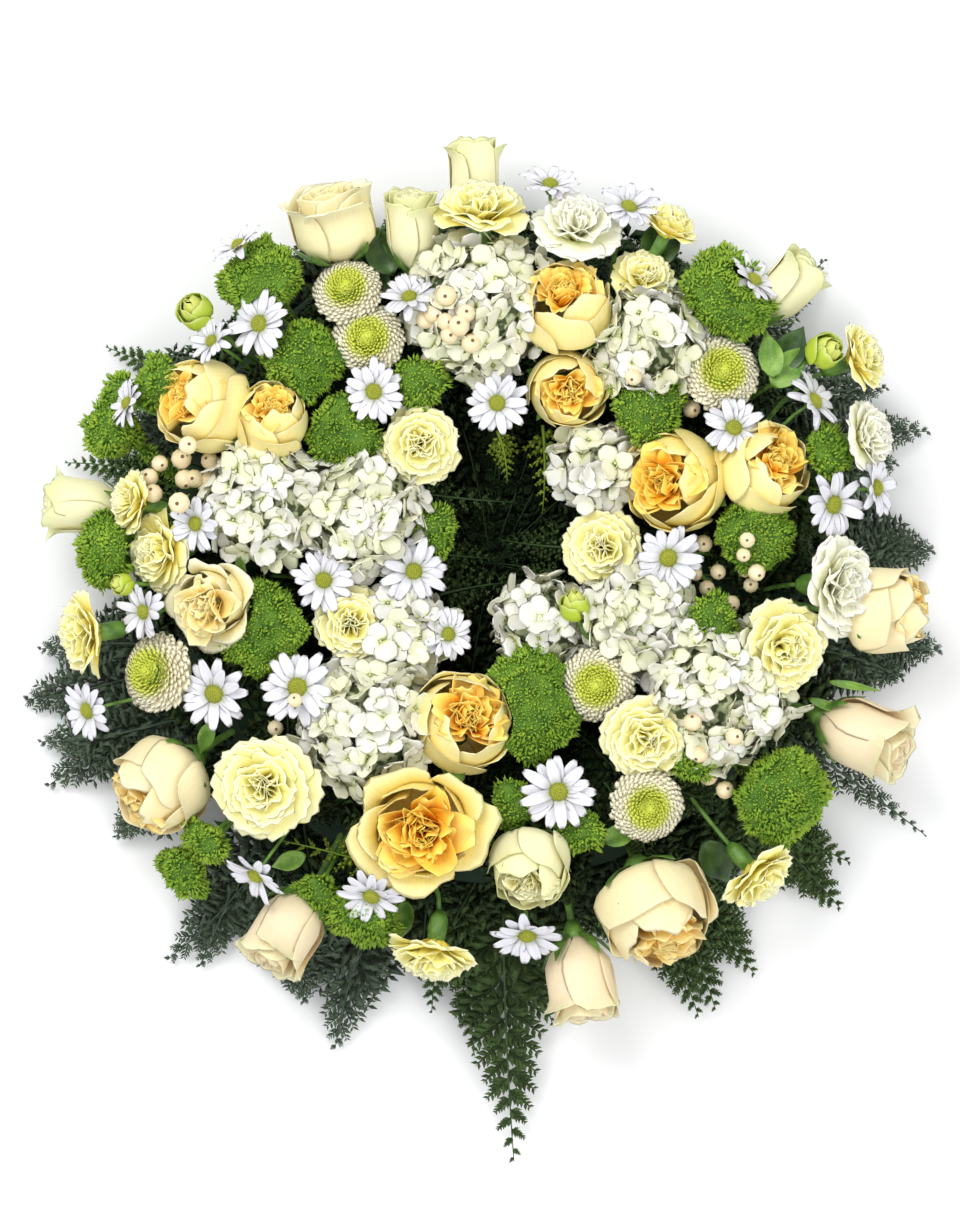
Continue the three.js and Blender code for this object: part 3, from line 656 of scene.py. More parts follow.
# node: finish, then for each bloom its rough place, width, height, and the way it looks.
for node, colour, *blooms in (
    ("carnations_north", "lemon", (-8, 238, 64, 52, 90, 58)),
    ("carnations_north", "white", (59, 228, 62, 54, 78, 46)),
    ("carnations_northeast", "lemon", (107, 197, 46, 46, 60, 34), (124, 233, 42, 44, 62, 74)),
    ("carnations_east_upper", "lemon", (251, 140, 52, 46, 20, 72)),
    ("carnations_east_upper", "white", (256, 86, 52, 46, 12, 62)),
    ("carnations_east", "white", (238, -16, 74, 54, 358, 52)),
    ("carnations_east", "lemon", (202, -60, 64, 50, 330, 26), (79, 10, 56, 48, 180, 8)),
    ("carnations_southeast", "lemon", (107, -121, 64, 50, 300, 12), (181, -214, 58, 48, 312, 74)),
    ("carnations_southwest", "lemon", (-39, -266, 62, 50, 262, 74), (-158, -155, 74, 52, 225, 14)),
    ("carnations_west_inner", "lemon", (-99, -44, 54, 48, 20, 6), (-50, 83, 56, 48, 300, 8)),
    ("carnations_west", "lemon", (-229, 8, 58, 50, 186, 48), (-246, 44, 46, 44, 170, 62),
     (-276, -50, 60, 50, 190, 68)),
):
    name = f"{node}_{colour}"
    petals = plant_blooms(name, node, blooms, carnation, carnation_calyx, rise=0.6, thick=1.7)
    piece(name + "_petals", petals, carnation_finishes[colour], "carnation_petals", node)

# ---- the button chrysanthemums -----------------------------------------------------------------------
# Green-eyed buttons: some three hundred short quilled florets packed on a domed head. They are tight,
# lime and upright in the eye, and longer, cream white and laid over towards the edge.


def octahedra(middles, radius, tint):
    """Beads: one small octahedron round each of these points, with its own radius."""
    count = len(middles)
    corners = np.array([[1, 0, 0], [-1, 0, 0], [0, 1, 0], [0, -1, 0], [0, 0, 1], [0, 0, -1]], float)
    faces = np.array([[0, 2, 4], [2, 1, 4], [1, 3, 4], [3, 0, 4], [2, 0, 5], [1, 2, 5], [3, 1, 5], [0, 3, 5]])
    radius, tint = (np.broadcast_to(value, count)[:, None, None] for value in (radius, tint))
    points = middles[:, None] + corners * radius
    looks = np.broadcast_to(tint, points.shape)
    return points.reshape(-1, 3), repeated(faces, count, 6)[:, [0, 1, 2, 2]], looks.reshape(-1, 3)


def sunflower(count):
    """How far out each point of a sunflower spiral lies, from 0 to 1."""
    return np.sqrt((np.arange(count) + 0.5) / count)


def button(wide, tall):
    """Florets on a sunflower spiral, each leaning further out the further it is from the eye, on a dome
    with a skirt. Dark specks stand between their tips."""
    count, specked = 300, 90
    base, rim_fall, dome = wide * 0.3, tall * 0.42, wide * 0.32

    def reach(s):
        return wide * (0.05 + 0.165 * s**1.6)

    s = np.clip(sunflower(count) + rng.normal(0, 0.012, count), 0, 1)
    florets = fan_petals(
        4, 3, turn=np.arange(count) * GOLDEN, start=(base * s, tall * 0.74 - rim_fall * s**2),
        lean=1.5 * s**1.3 + rng.normal(0, 0.07, count), bend=0.1 * s - 0.25 * s**4, length=reach(s),
        half_width=wide * (0.018 + 0.05 * s**1.5), reach=(0.22, 0.88), power=0.6, cup=-0.3, layer=s, rim=0.2,
    )
    outline = [(dome * share, tall * 0.78 - rim_fall * share**2) for share in (1, 0.8, 0.6, 0.4, 0.2)]
    skirt, top = [(0, tall * 0.14), (wide * 0.42, tall * 0.2)], (0, tall * 0.78)
    points, faces, looks = revolved([*skirt, *outline, top], 16)
    looks[:, 2] = np.clip(np.hypot(points[:, 0], points[:, 1]) / dome, 0, 1)
    s = np.sqrt(np.linspace(0.02, 0.62, specked)) + rng.normal(0, 0.015, specked)
    turn, lean = np.arange(specked) * GOLDEN + 1, 1.5 * s**1.3
    radius = base * s + 0.92 * reach(s) * np.sin(lean)
    height = tall * 0.75 - rim_fall * s**2 + reach(s) * np.cos(lean)
    specks = np.stack([radius * np.cos(turn), radius * np.sin(turn), height], -1)
    return joined(florets, (points, faces, looks), octahedra(specks, wide * 0.009, 2))


def button_base(wide, tall):
    """The green dish under a button, which closes it from below."""
    return revolved([(0, tall * 0.08), (wide * 0.1, tall * 0.1), (wide * 0.3, tall * 0.3),
                     (wide * 0.3, tall * 0.4), (wide * 0.16, tall * 0.68), (0, tall * 0.74)], 14)


button_petal = Finish("chrysanthemum_floret", Roughness=0.55)
_, along, layer = button_petal.looks()
mottle = button_petal.noise(700, 2)
lime_eye = button_petal.mix(along.above(0.1, 0.7), (0.34, 0.40, 0.02, 1), (0.74, 0.80, 0.10, 1))
cream_quill = button_petal.mix(along.above(0.1, 0.75), (1.0, 0.84, 0.46, 1), (1.0, 0.94, 0.70, 1))
floret_tone = button_petal.mix((layer + mottle * 0.12).above(0.62, 0.86), lime_eye, cream_quill)
button_petal.coloured(button_petal.mix(layer.above(1.4, 1.6), floret_tone, (0.10, 0.07, 0.02, 1)))
button_petal.bumped(mottle, 0.15 * MM)

for node, *blooms in (
    ("chrysanthemums_northwest", (-102, 192, 50, 34, 110, 24), (-85, 153, 52, 34, 120, 8)),
    ("chrysanthemums_southeast", (74, -86, 54, 36, 200, 8), (109, -172, 53, 34, 300, 14)),
    ("chrysanthemum_west", (-236, -78, 58, 40, 170, 36)),
    ("chrysanthemum_northeast", (161, 133, 56, 36, 40, 14)),
):
    florets = plant_blooms(node, node, blooms, button, button_base, rise=0.5, thick=1.7)
    piece(node + "_florets", florets, button_petal, "chrysanthemum_florets", node)

# ---- the daisies -------------------------------------------------------------------------------------
# Spray daisies: a ring of white, slightly channelled petals round a domed olive eye of beads. A few
# loose ones without a solid of their own stand between the other blooms.


def daisy(wide, tall):
    """Two close rounds of petals, the upper ones a little shorter."""
    count = 17
    upper = np.arange(count) % 2
    return fan_petals(
        7, 5, turn=np.arange(count) * 2 * np.pi / count + rng.normal(0, 0.05, count),
        start=(wide * 0.08, tall * 0.5 + upper * 0.9), lean=rng.normal(1.22, 0.14, count),
        bend=rng.normal(0.38, 0.24, count), length=wide * rng.normal(0.43, 0.03, count),
        cup=rng.normal(0.22, 0.2, count), half_width=wide * 0.088, reach=(0.1, 0.97), power=0.45, teeth=0.03,
        layer=upper, rim=0.12,
    )


def daisy_eye(wide, tall):
    """A dome under beads on a sunflower spiral."""
    count, half = 70, wide * 0.138
    s, turn = sunflower(count), np.arange(count) * GOLDEN
    beads = np.stack([half * s * np.cos(turn), half * s * np.sin(turn), tall * (0.92 - 0.3 * s**2)], -1)
    dome = revolved([(0, tall * 0.3), (half * 1.05, tall * 0.42), (half, tall * 0.62),
                     (half * 0.6, tall * 0.84), (0, tall * 0.92)], 12)
    return joined(octahedra(beads, wide * 0.02, 1 - s), dome)


def daisy_cup(wide, tall):
    """The small green cup under the petals."""
    return revolved([(0, 0), (wide * 0.04, tall * 0.04), (wide * 0.12, tall * 0.36),
                     (wide * 0.1, tall * 0.46), (0, tall * 0.46)], 10)


daisy_petal = Finish("daisy_petal", Roughness=0.5)
look, along, _ = daisy_petal.looks()
# Painted shade: the grey-lilac streaks mixed into the white petals stand for the shading along them. The
# streak noise also gives the petals' relief.
streak = daisy_petal.noise(1, 2, look, (26, 1.5, 9))
base_white = daisy_petal.mix(along.above(0.05, 0.45), (0.44, 0.46, 0.34, 1), (0.82, 0.81, 0.84, 1))
daisy_petal.coloured(daisy_petal.mix(streak.above(0.42, 0.7) * 0.7, base_white, (0.58, 0.57, 0.68, 1)))
daisy_petal.bumped(streak, 0.25 * MM)

eye_skin = Finish("daisy_eye", Roughness=0.7)
_, _, layer = eye_skin.looks()
pollen = eye_skin.noise(900, 2)
eye_skin.coloured(eye_skin.mix(pollen * 0.6 + layer * 0.3, (0.2, 0.24, 0.01, 1), (0.56, 0.56, 0.06, 1)))
eye_skin.bumped(pollen, 0.3 * MM)

for node, *blooms in (
    ("daisies_north", (41, 262, 42, 14, 84, 60), (95, 246, 44, 14, 70, 50), (183, 195, 42, 14, 48, 58)),
    ("daisies_northwest", (-161, 165, 46, 14, 150, 30), (-82, 118, 44, 14, 0, 6), (4, 111, 44, 14, 270, 10)),
    ("daisies_east", (170, 92, 44, 14, 60, 20), (224, 111, 44, 14, 30, 60), (239, 38, 50, 14, 350, 36),
     (270, 54, 44, 14, 8, 56)),
    ("daisies_west", (-206, 28, 40, 14, 190, 30), (-241, -35, 40, 14, 190, 46), (-119, -14, 44, 14, 340, 8),
     (-55, -7, 46, 14, 20, 12)),
    ("daisies_southwest", (-282, -104, 44, 14, 196, 50), (-193, -93, 50, 14, 220, 22),
     (-134, -88, 52, 14, 90, 6)),
    ("daisies_south", (48, -159, 52, 14, 280, 10), (-83, -232, 46, 14, 250, 42), (25, -259, 50, 14, 268, 48)),
):
    petals = plant_blooms(node, node, blooms, daisy, daisy_cup, rise=0.5, thick=1.3)
    piece(node + "_petals", petals, daisy_petal, "daisy_petals", node)
    eyes = []
    for x, y, wide, tall, faces, tilt in blooms:
        middle, _ = middle_of(node, (x, y), wide / 2)
        eyes.append(set_down(daisy_eye(wide, tall), tall / 2, middle, faces, tilt))
    piece(node + "_eyes", joined(*eyes), eye_skin, "daisy_petals")


def crown(x, y, lift):
    """A point lift millimetres over the smooth crown that the blooms' middles follow: highest on a circle
    over the foam, and falling on both sides of it."""
    ridge, outer_fall, inner_fall, low, rise = 187, 132, 178, 36, 70
    radius = np.hypot(x, y)
    share = (radius - ridge) / (outer_fall if radius > ridge else inner_fall)
    return np.array([*on_plan(x, y), (low + rise * max(0, 1 - share**2) ** 0.5 + lift) * MM])


def foot_for(x, y):
    """Where a stalk for something over this place is pushed into the top of the foam."""
    inner, outer, top = 162, 212, 52
    radius = np.hypot(x, y)
    return np.array([*on_plan(*np.array([x, y]) * np.clip(radius, inner, outer) / radius), top * MM])


loose_petals, loose_eyes, loose_greens = [], [], []
for x, y, wide, faces, tilt in (
    (-176, 220, 40, 130, 70), (-31, -51, 38, 10, 20), (123, 3, 49, 300, 16), (-164, -218, 44, 235, 62),
    (-57, 183, 40, 100, 40), (-253, 110, 36, 160, 62), (-194, 153, 34, 150, 50),
):
    middle, tall = crown(x, y, 20), 14
    for shape, kept in ((daisy, loose_petals), (daisy_eye, loose_eyes), (daisy_cup, loose_greens)):
        kept.append(set_down(shape(wide, tall), tall / 2, middle, faces, tilt))
    loose_greens.append(stem(foot_for(x, y), middle, tall / 2, faces, tilt, thick=1.2))
piece("daisies_loose_petals", joined(*loose_petals), daisy_petal, "daisy_petals")
piece("daisies_loose_eyes", joined(*loose_eyes), eye_skin, "daisy_petals")
piece("daisies_loose_stems", joined(*loose_greens), leaf_green, "leaf")

# ---- the hydrangeas ----------------------------------------------------------------------------------
# Mop heads. The imported solid of each stays as the cushion of small stalks inside, and four-sepalled
# florets with a bead of a bud in the middle stand all over it. The cushion's colour is painted shade:
# near black for the deep shade between the florets, mottled lighter to paint florets lower down in shade.

all_corners, all_triangles, counted = [], [], 0
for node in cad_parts:
    corners, triangles, *_ = packed(node)
    all_corners += corners.tolist()
    all_triangles += (triangles + counted).tolist()
    counted = len(all_corners)
packed_solids = BVHTree.FromPolygons(all_corners, all_triangles)


def skin_of(node, spacing, inwards=0.0, apart=False):
    """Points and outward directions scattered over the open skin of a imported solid, one to a cell of
    spacing millimetres: not on its stems, and not where another solid lies right in front. Where they
    are to stay apart, none is nearer than spacing to another."""
    stem_top, steepest, upright, clear, tries = 44 * MM, -0.45, 0.15, 2 * MM, 5
    step = spacing * MM
    corners, triangles, _, normals, areas = packed(node)
    picked = rng.choice(len(areas), int(areas.sum() / step**2 * tries), p=areas / areas.sum())
    a, b = rng.random((2, len(picked), 1))
    a, b = np.where(a + b > 1, 1 - a, a), np.where(a + b > 1, 1 - b, b)
    first, second, third = corners[triangles[picked]].transpose(1, 0, 2)
    places = first * (1 - a - b) + second * a + third * b
    directions = normals[picked]
    above = (directions[:, 2] > steepest) & ((places[:, 2] > stem_top) | (directions[:, 2] > upright))
    places, directions = places[above], directions[above]
    cells = np.unique(np.floor(places / (step * (0.4 if apart else 1))), axis=0, return_index=True)[1]
    cells = rng.permutation(cells)
    places, directions = places[cells], directions[cells]
    kept = []
    for i, (place, direction) in enumerate(zip(places, directions)):
        if apart and kept and ((places[kept] - place) ** 2).sum(1).min() < step**2:
            continue
        if packed_solids.ray_cast(Vector(place + direction * 0.05 * MM), Vector(direction), clear)[0] is None:
            kept.append(i)
    return places[kept] - directions[kept] * inwards * MM, directions[kept]


def copies(part, places, axes, spins, sizes, tints):
    """A small part, in millimetres round +Z, set down at many places: each copy stands along its axis,
    turned by its spin and scaled by its size. Its tint becomes the layer of its looks."""
    points, faces, looks = part
    side = unit(np.cross(np.where(np.abs(axes[:, 2:]) > 0.9, [[1.0, 0, 0]], [[0, 0, 1.0]]), axes))
    other = np.cross(axes, side)
    cos, sin = np.cos(spins)[:, None], np.sin(spins)[:, None]
    basis = np.stack([side * cos + other * sin, other * cos - side * sin, axes], 1)
    placed = places[:, None] + np.einsum("pk,nkj->npj", points, basis) * (sizes * MM)[:, None, None]
    looks = np.tile(looks, (len(places), 1, 1))
    looks[:, :, 2] = tints[:, None]
    return placed.reshape(-1, 3), repeated(faces, len(places), len(points)), looks.reshape(-1, 3)


def leaned(axes, spread):
    """The same directions, each knocked about a little."""
    return unit(axes + rng.normal(0, spread, axes.shape))


def floret(open_by):
    """Four broad sepals, each with a slight fold, round one bead."""
    sepals = fan_petals(
        5, 4, turn=np.arange(4) * np.pi / 2 + rng.normal(0, 0.14, 4), start=(0.3, 2.5),
        lean=open_by + rng.normal(0, 0.12, 4), bend=rng.normal(0.3, 0.3, 4), length=rng.normal(13, 1.3, 4),
        half_width=rng.normal(7.2, 0.7, 4), reach=(0.1, 0.96), power=0.6, crumple=1.2, waves=2.5,
        cup=rng.normal(0.05, 0.2, 4), rim=0.12, thick=0.3,
    )
    return joined(sepals, octahedra(np.array([[0, 0, 3.2]]), 1.2, 0.1))


sepal_skin = Finish("hydrangea_sepal", Roughness=0.55)
look, along, layer = sepal_skin.looks()
veined = sepal_skin.noise(1, 3, look, (9, 3, 60))
cloud = sepal_skin.noise(70, 2)
clouded = (cloud * 0.6 + layer * 0.5).above(0.35, 0.8)
sepal_tone = sepal_skin.mix(clouded, (0.84, 0.82, 0.76, 1), (0.82, 0.82, 0.58, 1))
sepal_base = sepal_skin.mix(along.above(0.02, 0.34), (0.66, 0.71, 0.32, 1), sepal_tone)
sepal_skin.coloured(sepal_skin.mix(veined.above(0.45, 0.75) * 0.4, sepal_base, (0.80, 0.79, 0.64, 1)))
sepal_skin.bumped(veined, 0.2 * MM)

# Painted shade: the cushion's near-black colour stands for the deep shade between the florets, and its
# lighter mottles for florets lower down in shade. The same noise also gives a real relief.
cushion = Finish("hydrangea_cushion_painted_shade", Roughness=0.7)
painted_shade_lumps = cushion.noise(150, 1)
cushion.coloured(cushion.mix(painted_shade_lumps.above(0.44, 0.58), (0.05, 0.07, 0.02, 1), (0.44, 0.47, 0.28, 1)))
cushion.bumped(painted_shade_lumps, 4 * MM)

floret_leans = (0.95, 1.1, 1.2, 1.3, 1.4)
for side_name in ("north", "northeast", "west", "southwest", "east"):
    node = "hydrangea_" + side_name
    dress(node, cushion)
    places, axes = skin_of(node, 9.8, inwards=0.5, apart=True)
    parts = []
    for k, open_by in enumerate(floret_leans):
        here = np.arange(k, len(places), len(floret_leans))
        shape = floret(open_by)
        parts.append(copies(shape, places[here], leaned(axes[here], 0.4), rng.uniform(0, 6.3, len(here)),
                            rng.normal(1, 0.1, len(here)), rng.random(len(here))))
    piece(node + "_florets", joined(*parts), sepal_skin, "hydrangea_florets")

# ---- the trachelium ----------------------------------------------------------------------------------
# Flat-topped heads of hundreds of tiny green buds, like moss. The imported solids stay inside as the
# branching, and small buds stand up all over them. Smaller heads fill in between the blooms.


def blades(base, tip, facing, half_wide, thick, tint, widest=0.45):
    """Leaflets or bristles with four faces each, from base to tip (n, 3). The ridge between the two faces
    towards facing lies thick above the other two, and all meet in the side corners."""
    count = len(base)
    half_wide, thick, tint = (np.broadcast_to(value, count)[:, None] for value in (half_wide, thick, tint))
    along = tip - base
    side = unit(np.cross(along, np.broadcast_to(facing, base.shape)))
    up = unit(np.cross(side, along))
    edge = base + along * widest - up * thick
    points = np.stack([base, tip, edge - side * half_wide, edge + side * half_wide], 1)
    faces = repeated(np.array([[0, 3, 1], [0, 1, 2], [0, 2, 3], [2, 1, 3]]), count, 4)
    looks = np.stack(np.broadcast_arrays(0.5, np.array([[0, 1, widest, widest]]), tint), -1)
    return points.reshape(-1, 3), faces[:, [0, 1, 2, 2]], looks.reshape(-1, 3)


def tufts(places, axes):
    """Little buds that stand on these places, some of them reaching out further."""
    count = len(places)
    directions = leaned(axes, 0.4)
    clumps = sum(np.sin(places @ way) for way in ([430, 210, 160], [-190, 470, 90], [150, -260, 420]))
    reach = np.maximum(rng.uniform(2.6, 4.2, count) + 1.7 * clumps, 2.2)[:, None] * MM
    facing = leaned(axes, 1.0)
    half_wide, thick = rng.uniform(0.9, 1.5, count) * MM, rng.uniform(0.5, 1.0, count) * MM
    tint = np.clip(0.5 + clumps * 0.3 + rng.normal(0, 0.12, count), 0, 1)
    return blades(places - axes * 1.5 * MM, places + directions * reach, facing, half_wide, thick, tint, 0.62)


moss = Finish("trachelium_bud", Roughness=0.75)
_, along, layer = moss.looks()
speck = moss.noise(500, 2)
patch = moss.noise(45, 2)
green_top = moss.mix((patch + speck * 0.4).above(0.45, 0.95), (0.21, 0.40, 0.02, 1), (0.39, 0.58, 0.05, 1))
moss.coloured(moss.mix((along * 0.8 + layer * 0.7).above(0.0, 1.0), (0.09, 0.19, 0.012, 1), green_top))
moss.bumped(speck, 0.3 * MM)

branching = leaf_finish("trachelium_branches", (0.05, 0.13, 0.01, 1), (0.14, 0.28, 0.02, 1), 0.8)
bud_spacing = 1.9

for node in ("trachelium_northwest", "trachelium_west", "trachelium_west_inner", "trachelium_south_inner",
             "trachelium_northeast", "trachelium_southeast", "trachelium_east"):
    dress(node, branching)
    piece(node + "_buds", tufts(*skin_of(node, bud_spacing)), moss, "trachelium_buds")


def small_head(x, y, wide, lift):
    """A low lobed dome, its stalk, and the buds that stand on it, scattered along the dome's outline in
    proportion to its girth. It leans outwards, the more so the further out it stands."""
    middle, half = crown(x, y, lift), wide / 2
    outline = [(0, -half * 0.55), (half * 0.3, -half * 0.5), (half * 0.85, -half * 0.05),
               (half * 0.95, half * 0.15), (half * 0.7, half * 0.42), (half * 0.3, half * 0.55),
               (0, half * 0.58)]
    faces_to, tilt = np.degrees(np.arctan2(y, x)), np.clip((np.hypot(x, y) - 150) * 0.5, -20, 70)

    def lobes(angle):
        return 1 + 0.12 * np.sin(3 * angle + x)

    points, faces, looks = revolved(outline, 14)
    points[:, :2] *= lobes(np.arctan2(points[:, 1], points[:, 0]))[:, None]
    radius, height = np.array(outline[1:]).T
    share = np.concatenate([[0], np.cumsum(np.hypot(np.diff(radius), np.diff(height)))])
    steps = share[-1] * np.linspace(0, 1, 200)
    girth = np.interp(steps, share, radius)
    count = int(wide**2 / bud_spacing)
    along = rng.choice(steps, count, p=girth / girth.sum())
    turn = rng.uniform(0, 2 * np.pi, count)
    at = np.interp(along, share, radius) * lobes(turn)
    sideways, upwards = (np.interp(along, share, np.gradient(run, share)) for run in (height, -radius))
    dome = np.stack([at * np.cos(turn), at * np.sin(turn), np.interp(along, share, height)], -1)
    axis = np.stack([sideways * np.cos(turn), sideways * np.sin(turn), upwards], -1)
    axis = unit(turned(axis, np.zeros(3), faces_to, tilt) / MM)
    return (set_down((points, faces, looks), 0, middle, faces_to, tilt),
            stem(foot_for(x, y), middle, half * 0.5, faces_to, tilt, thick=1.6),
            tufts(turned(dome, middle, faces_to, tilt), axis))


# side: for each head its place, width, and height over the crown.
for side_name, *heads in (
    ("north", (-50, 125, 36, 4), (-103, 92, 50, 2), (109, 106, 50, 2), (-43, 22, 37, 6)),
    ("west", (-234, 124, 40, 2), (-216, -217, 44, -4), (-200, -196, 36, 0), (-262, 118, 30, 0)),
    ("south", (-89, -247, 56, -14), (16, -169, 34, -4), (62, -188, 34, -6), (-122, -232, 34, -12)),
    ("east", (154, -41, 34, 10), (235, 77, 36, 6), (140, -134, 40, -4)),
):
    domes, stalks, buds = zip(*(small_head(*head) for head in heads))
    piece(f"trachelium_small_{side_name}_buds", joined(*buds), moss, "trachelium_buds")
    piece(f"trachelium_small_{side_name}_branches", joined(*domes, *stalks), branching, "trachelium_buds")

# ---- the ferns and the cedar -------------------------------------------------------------------------
# Leatherleaf fern and flat sprays of cedar. A frond is a bent midrib with side branches that carry
# leaflets on both sides, and everything droops a little towards the tips.


def frond(start, end, sag, wide, tint, pairs, leaflets, stubby, lean, pinna, lobes):
    """From start to end (mm, heights from the table) with a bow of sag in its middle. Side branches reach
    wide / 2 near the base, get shorter towards the tip, and lean out from the midrib. stubby is a
    leaflet's width over its length, lobes its length over the step to the next one, and pinna half the
    width of the blade that runs out along a side branch."""
    up, taper, droop, lean_in = (0, 0, 1), 0.85, -0.1, 0.75
    start, end = (np.array([*(ring_middle / MM + point[:2]), point[2]], float) for point in (start, end))
    share = np.linspace(0, 1, 12)[:, None]
    sideways = rng.normal(0, 0.03) * np.linalg.norm(end - start) * unit(np.cross(end - start, up))
    path = start + (end - start) * share + 4 * share * (1 - share) * ([0, 0, sag] + sideways)
    sign = np.tile([-1.0, 1.0], pairs)
    t = np.clip(np.repeat(np.linspace(0.1, 0.97, pairs), 2) + 0.2 * sign / pairs, 0.02, 0.99)
    at, ahead = (np.stack([np.interp(t, share[:, 0], line[:, k]) for k in range(3)], -1)
                 for line in (path, np.gradient(path, axis=0)))
    ahead = unit(ahead)
    out = unit(np.cross(ahead, up))
    above = np.cross(out, ahead)
    angle = lean * rng.normal(1, 0.05, len(t))[:, None] * (1.05 - 0.35 * t[:, None])
    branch = ahead * np.cos(angle) + sign[:, None] * out * np.sin(angle)
    branch = unit(branch + above * rng.normal(-0.08, 0.08, (len(t), 1)))
    length = wide / 2 * (1.04 - t) ** taper * np.clip(0.45 + 5 * t, 0, 1)
    length = length * rng.normal(1, 0.06, len(t)) / np.sin(lean)

    j = np.repeat((np.arange(leaflets) + 0.35) / leaflets, 2)
    flip = np.tile([-1.0, 1.0], leaflets)[None, :, None]
    along = (length[:, None] * j)[..., None]
    inwards = lean_in * rng.normal(1, 0.1, (len(t), len(j), 1))
    direction = branch[:, None] * np.cos(inwards) + flip * np.cross(branch, above)[:, None] * np.sin(inwards)
    base = at[:, None] + branch[:, None] * along + above[:, None] * droop * along * j[None, :, None]
    size = (length[:, None] * lobes / leaflets * (1.15 - j) ** 0.6)[..., None]
    size = np.minimum(size, wide * 0.2) * rng.normal(1, 0.08, size.shape)
    tips = base + direction * size + above[:, None] * rng.normal(0, 0.12, size.shape) * size
    tints = np.clip(tint + rng.normal(0, 0.12, size.size), 0, 1)
    leaves = blades(base.reshape(-1, 3) * MM, tips.reshape(-1, 3) * MM, np.repeat(above, len(j), 0),
                    size.ravel() * stubby / 2 * MM, 0.35 * MM, tints)
    branch_tips = at + branch * length[:, None] * 1.06 + above * droop * length[:, None]
    half_pinna = np.minimum(pinna, length * 0.2)
    ribs = blades(at * MM, branch_tips * MM, above, half_pinna * MM, 0.5 * MM, tint * 0.85, 0.3)
    points, faces, looks = swept(path * MM, np.linspace(1.3, 0.35, len(path)), 5)
    return joined(leaves, ribs, (points, faces, looks * 0 + [0.5, 0, tint * 0.7]))


def frond_finish(name, dark, light, gloss):
    """Fern skin: dark at the foot of each leaflet, lighter at its tip and on lighter fronds."""
    finish = Finish(name, Roughness=gloss, Specular_IOR_Level=0.25)
    _, along, layer = finish.looks()
    cloud = finish.noise(70, 2)
    fine = finish.noise(900, 2)
    lit = (layer * 0.7 + along * 0.25 + cloud * 0.35 + fine * 0.2 - 0.25).above(0.1, 0.95)
    finish.coloured(finish.mix(lit, dark, light))
    finish.bumped(fine, 0.2 * MM)
    return finish


fern_skin = frond_finish("leatherleaf_fern", (0.016, 0.036, 0.011, 1), (0.15, 0.25, 0.07, 1), 0.55)
cedar_skin = frond_finish("cedar_spray", (0.026, 0.05, 0.03, 1), (0.19, 0.26, 0.165, 1), 0.6)
fresh_skin = frond_finish("young_fern", (0.10, 0.19, 0.015, 1), (0.46, 0.58, 0.07, 1), 0.45)

habits = {
    "fern": {"pairs": 14, "leaflets": 6, "stubby": 0.42, "lean": 1.0, "pinna": 2.3, "lobes": 2.6},
    "short": {"pairs": 9, "leaflets": 4, "stubby": 0.5, "lean": 1.0, "pinna": 0.7, "lobes": 2.6},
    "broad": {"pairs": 15, "leaflets": 4, "stubby": 0.75, "lean": 1.05, "pinna": 2.8, "lobes": 1.15},
    "young": {"pairs": 8, "leaflets": 3, "stubby": 0.8, "lean": 0.95, "pinna": 1.9, "lobes": 0.9},
    "cedar": {"pairs": 12, "leaflets": 5, "stubby": 0.36, "lean": 0.75, "pinna": 0.8, "lobes": 2.6},
}


def tip_of(node, x, y):
    """The corner of a packed fern nearest a rough place, in millimetres from the ring's middle."""
    corners = packed(node)[0]
    near = corners[np.argmin(((corners[:, :2] - on_plan(x, y)) ** 2).sum(1))]
    return np.array([*(near[:2] - ring_middle), near[2]]) / MM


# The blades start over the foam, on its outer side or on its inner one, and each has a butt that goes
# down into it. The outer ones reach a little past the tips of their solid.
outer_start, inner_start, past_solid = 212, 160, 1.012
butt_height, start_height = 20, 36

# node: finish, habit, tint, then for each blade its rough tip, its width and, for one over the hole, the
# degrees round the ring where it starts.
for node, skin, habit, tint, *tips in (
    ("fern_fan_west", cedar_skin, "cedar", 0.6, (-328, -97, 92, 0), (-313, -158, 84, 0), (-30, -2, 66, 198)),
    ("fern_fan_southwest", cedar_skin, "cedar", 0.6, (-228, -280, 84, 0), (-110, -342, 92, 0),
     (-22, -32, 66, 236)),
    ("fern_fan_south", fern_skin, "fern", 0.6, (16, -422, 100, 0), (-42, -318, 60, 0), (12, -27, 62, 268)),
    ("fern_fan_southeast", fern_skin, "fern", 0.6, (146, -320, 84, 0), (246, -244, 92, 0),
     (48, -30, 64, 304)),
    ("fern_fan_east", cedar_skin, "cedar", 0.65, (316, -62, 84, 0), (311, 8, 80, 0), (55, 14, 64, 350)),
    ("fern_fan_northeast", cedar_skin, "cedar", 0.65, (308, 92, 66, 0), (236, 214, 56, 0), (54, 60, 60, 38),
     (30, 86, 56, 74)),
    ("fern_fan_northwest", fern_skin, "fern", 0.95, (-272, 152, 50, 0), (-300, 70, 48, 0), (-30, 52, 66, 148),
     (-8, 86, 56, 108)),
):
    parts = []
    for x, y, wide, start_angle in tips:
        tip, turn = tip_of(node, x, y), np.radians(start_angle)
        if start_angle:
            root = np.array([np.cos(turn), np.sin(turn)]) * inner_start
            butt, grown, shade = 1.14, "broad", 0.55
        else:
            tip[:2] *= past_solid
            root = tip[:2] * outer_start / np.hypot(*tip[:2])
            butt, grown, shade = 0.94, habit, tint
        parts.append(frond((*root, start_height), tip, 7, wide, shade, **habits[grown]))
        ends = [*on_plan(*root * butt), butt_height * MM], [*on_plan(*root), start_height * MM]
        parts.append(swept(np.linspace(*ends, 4), 1.6))
    piece(node + "_blades", joined(*parts), skin, "fern_leaf", node, smooth=False)
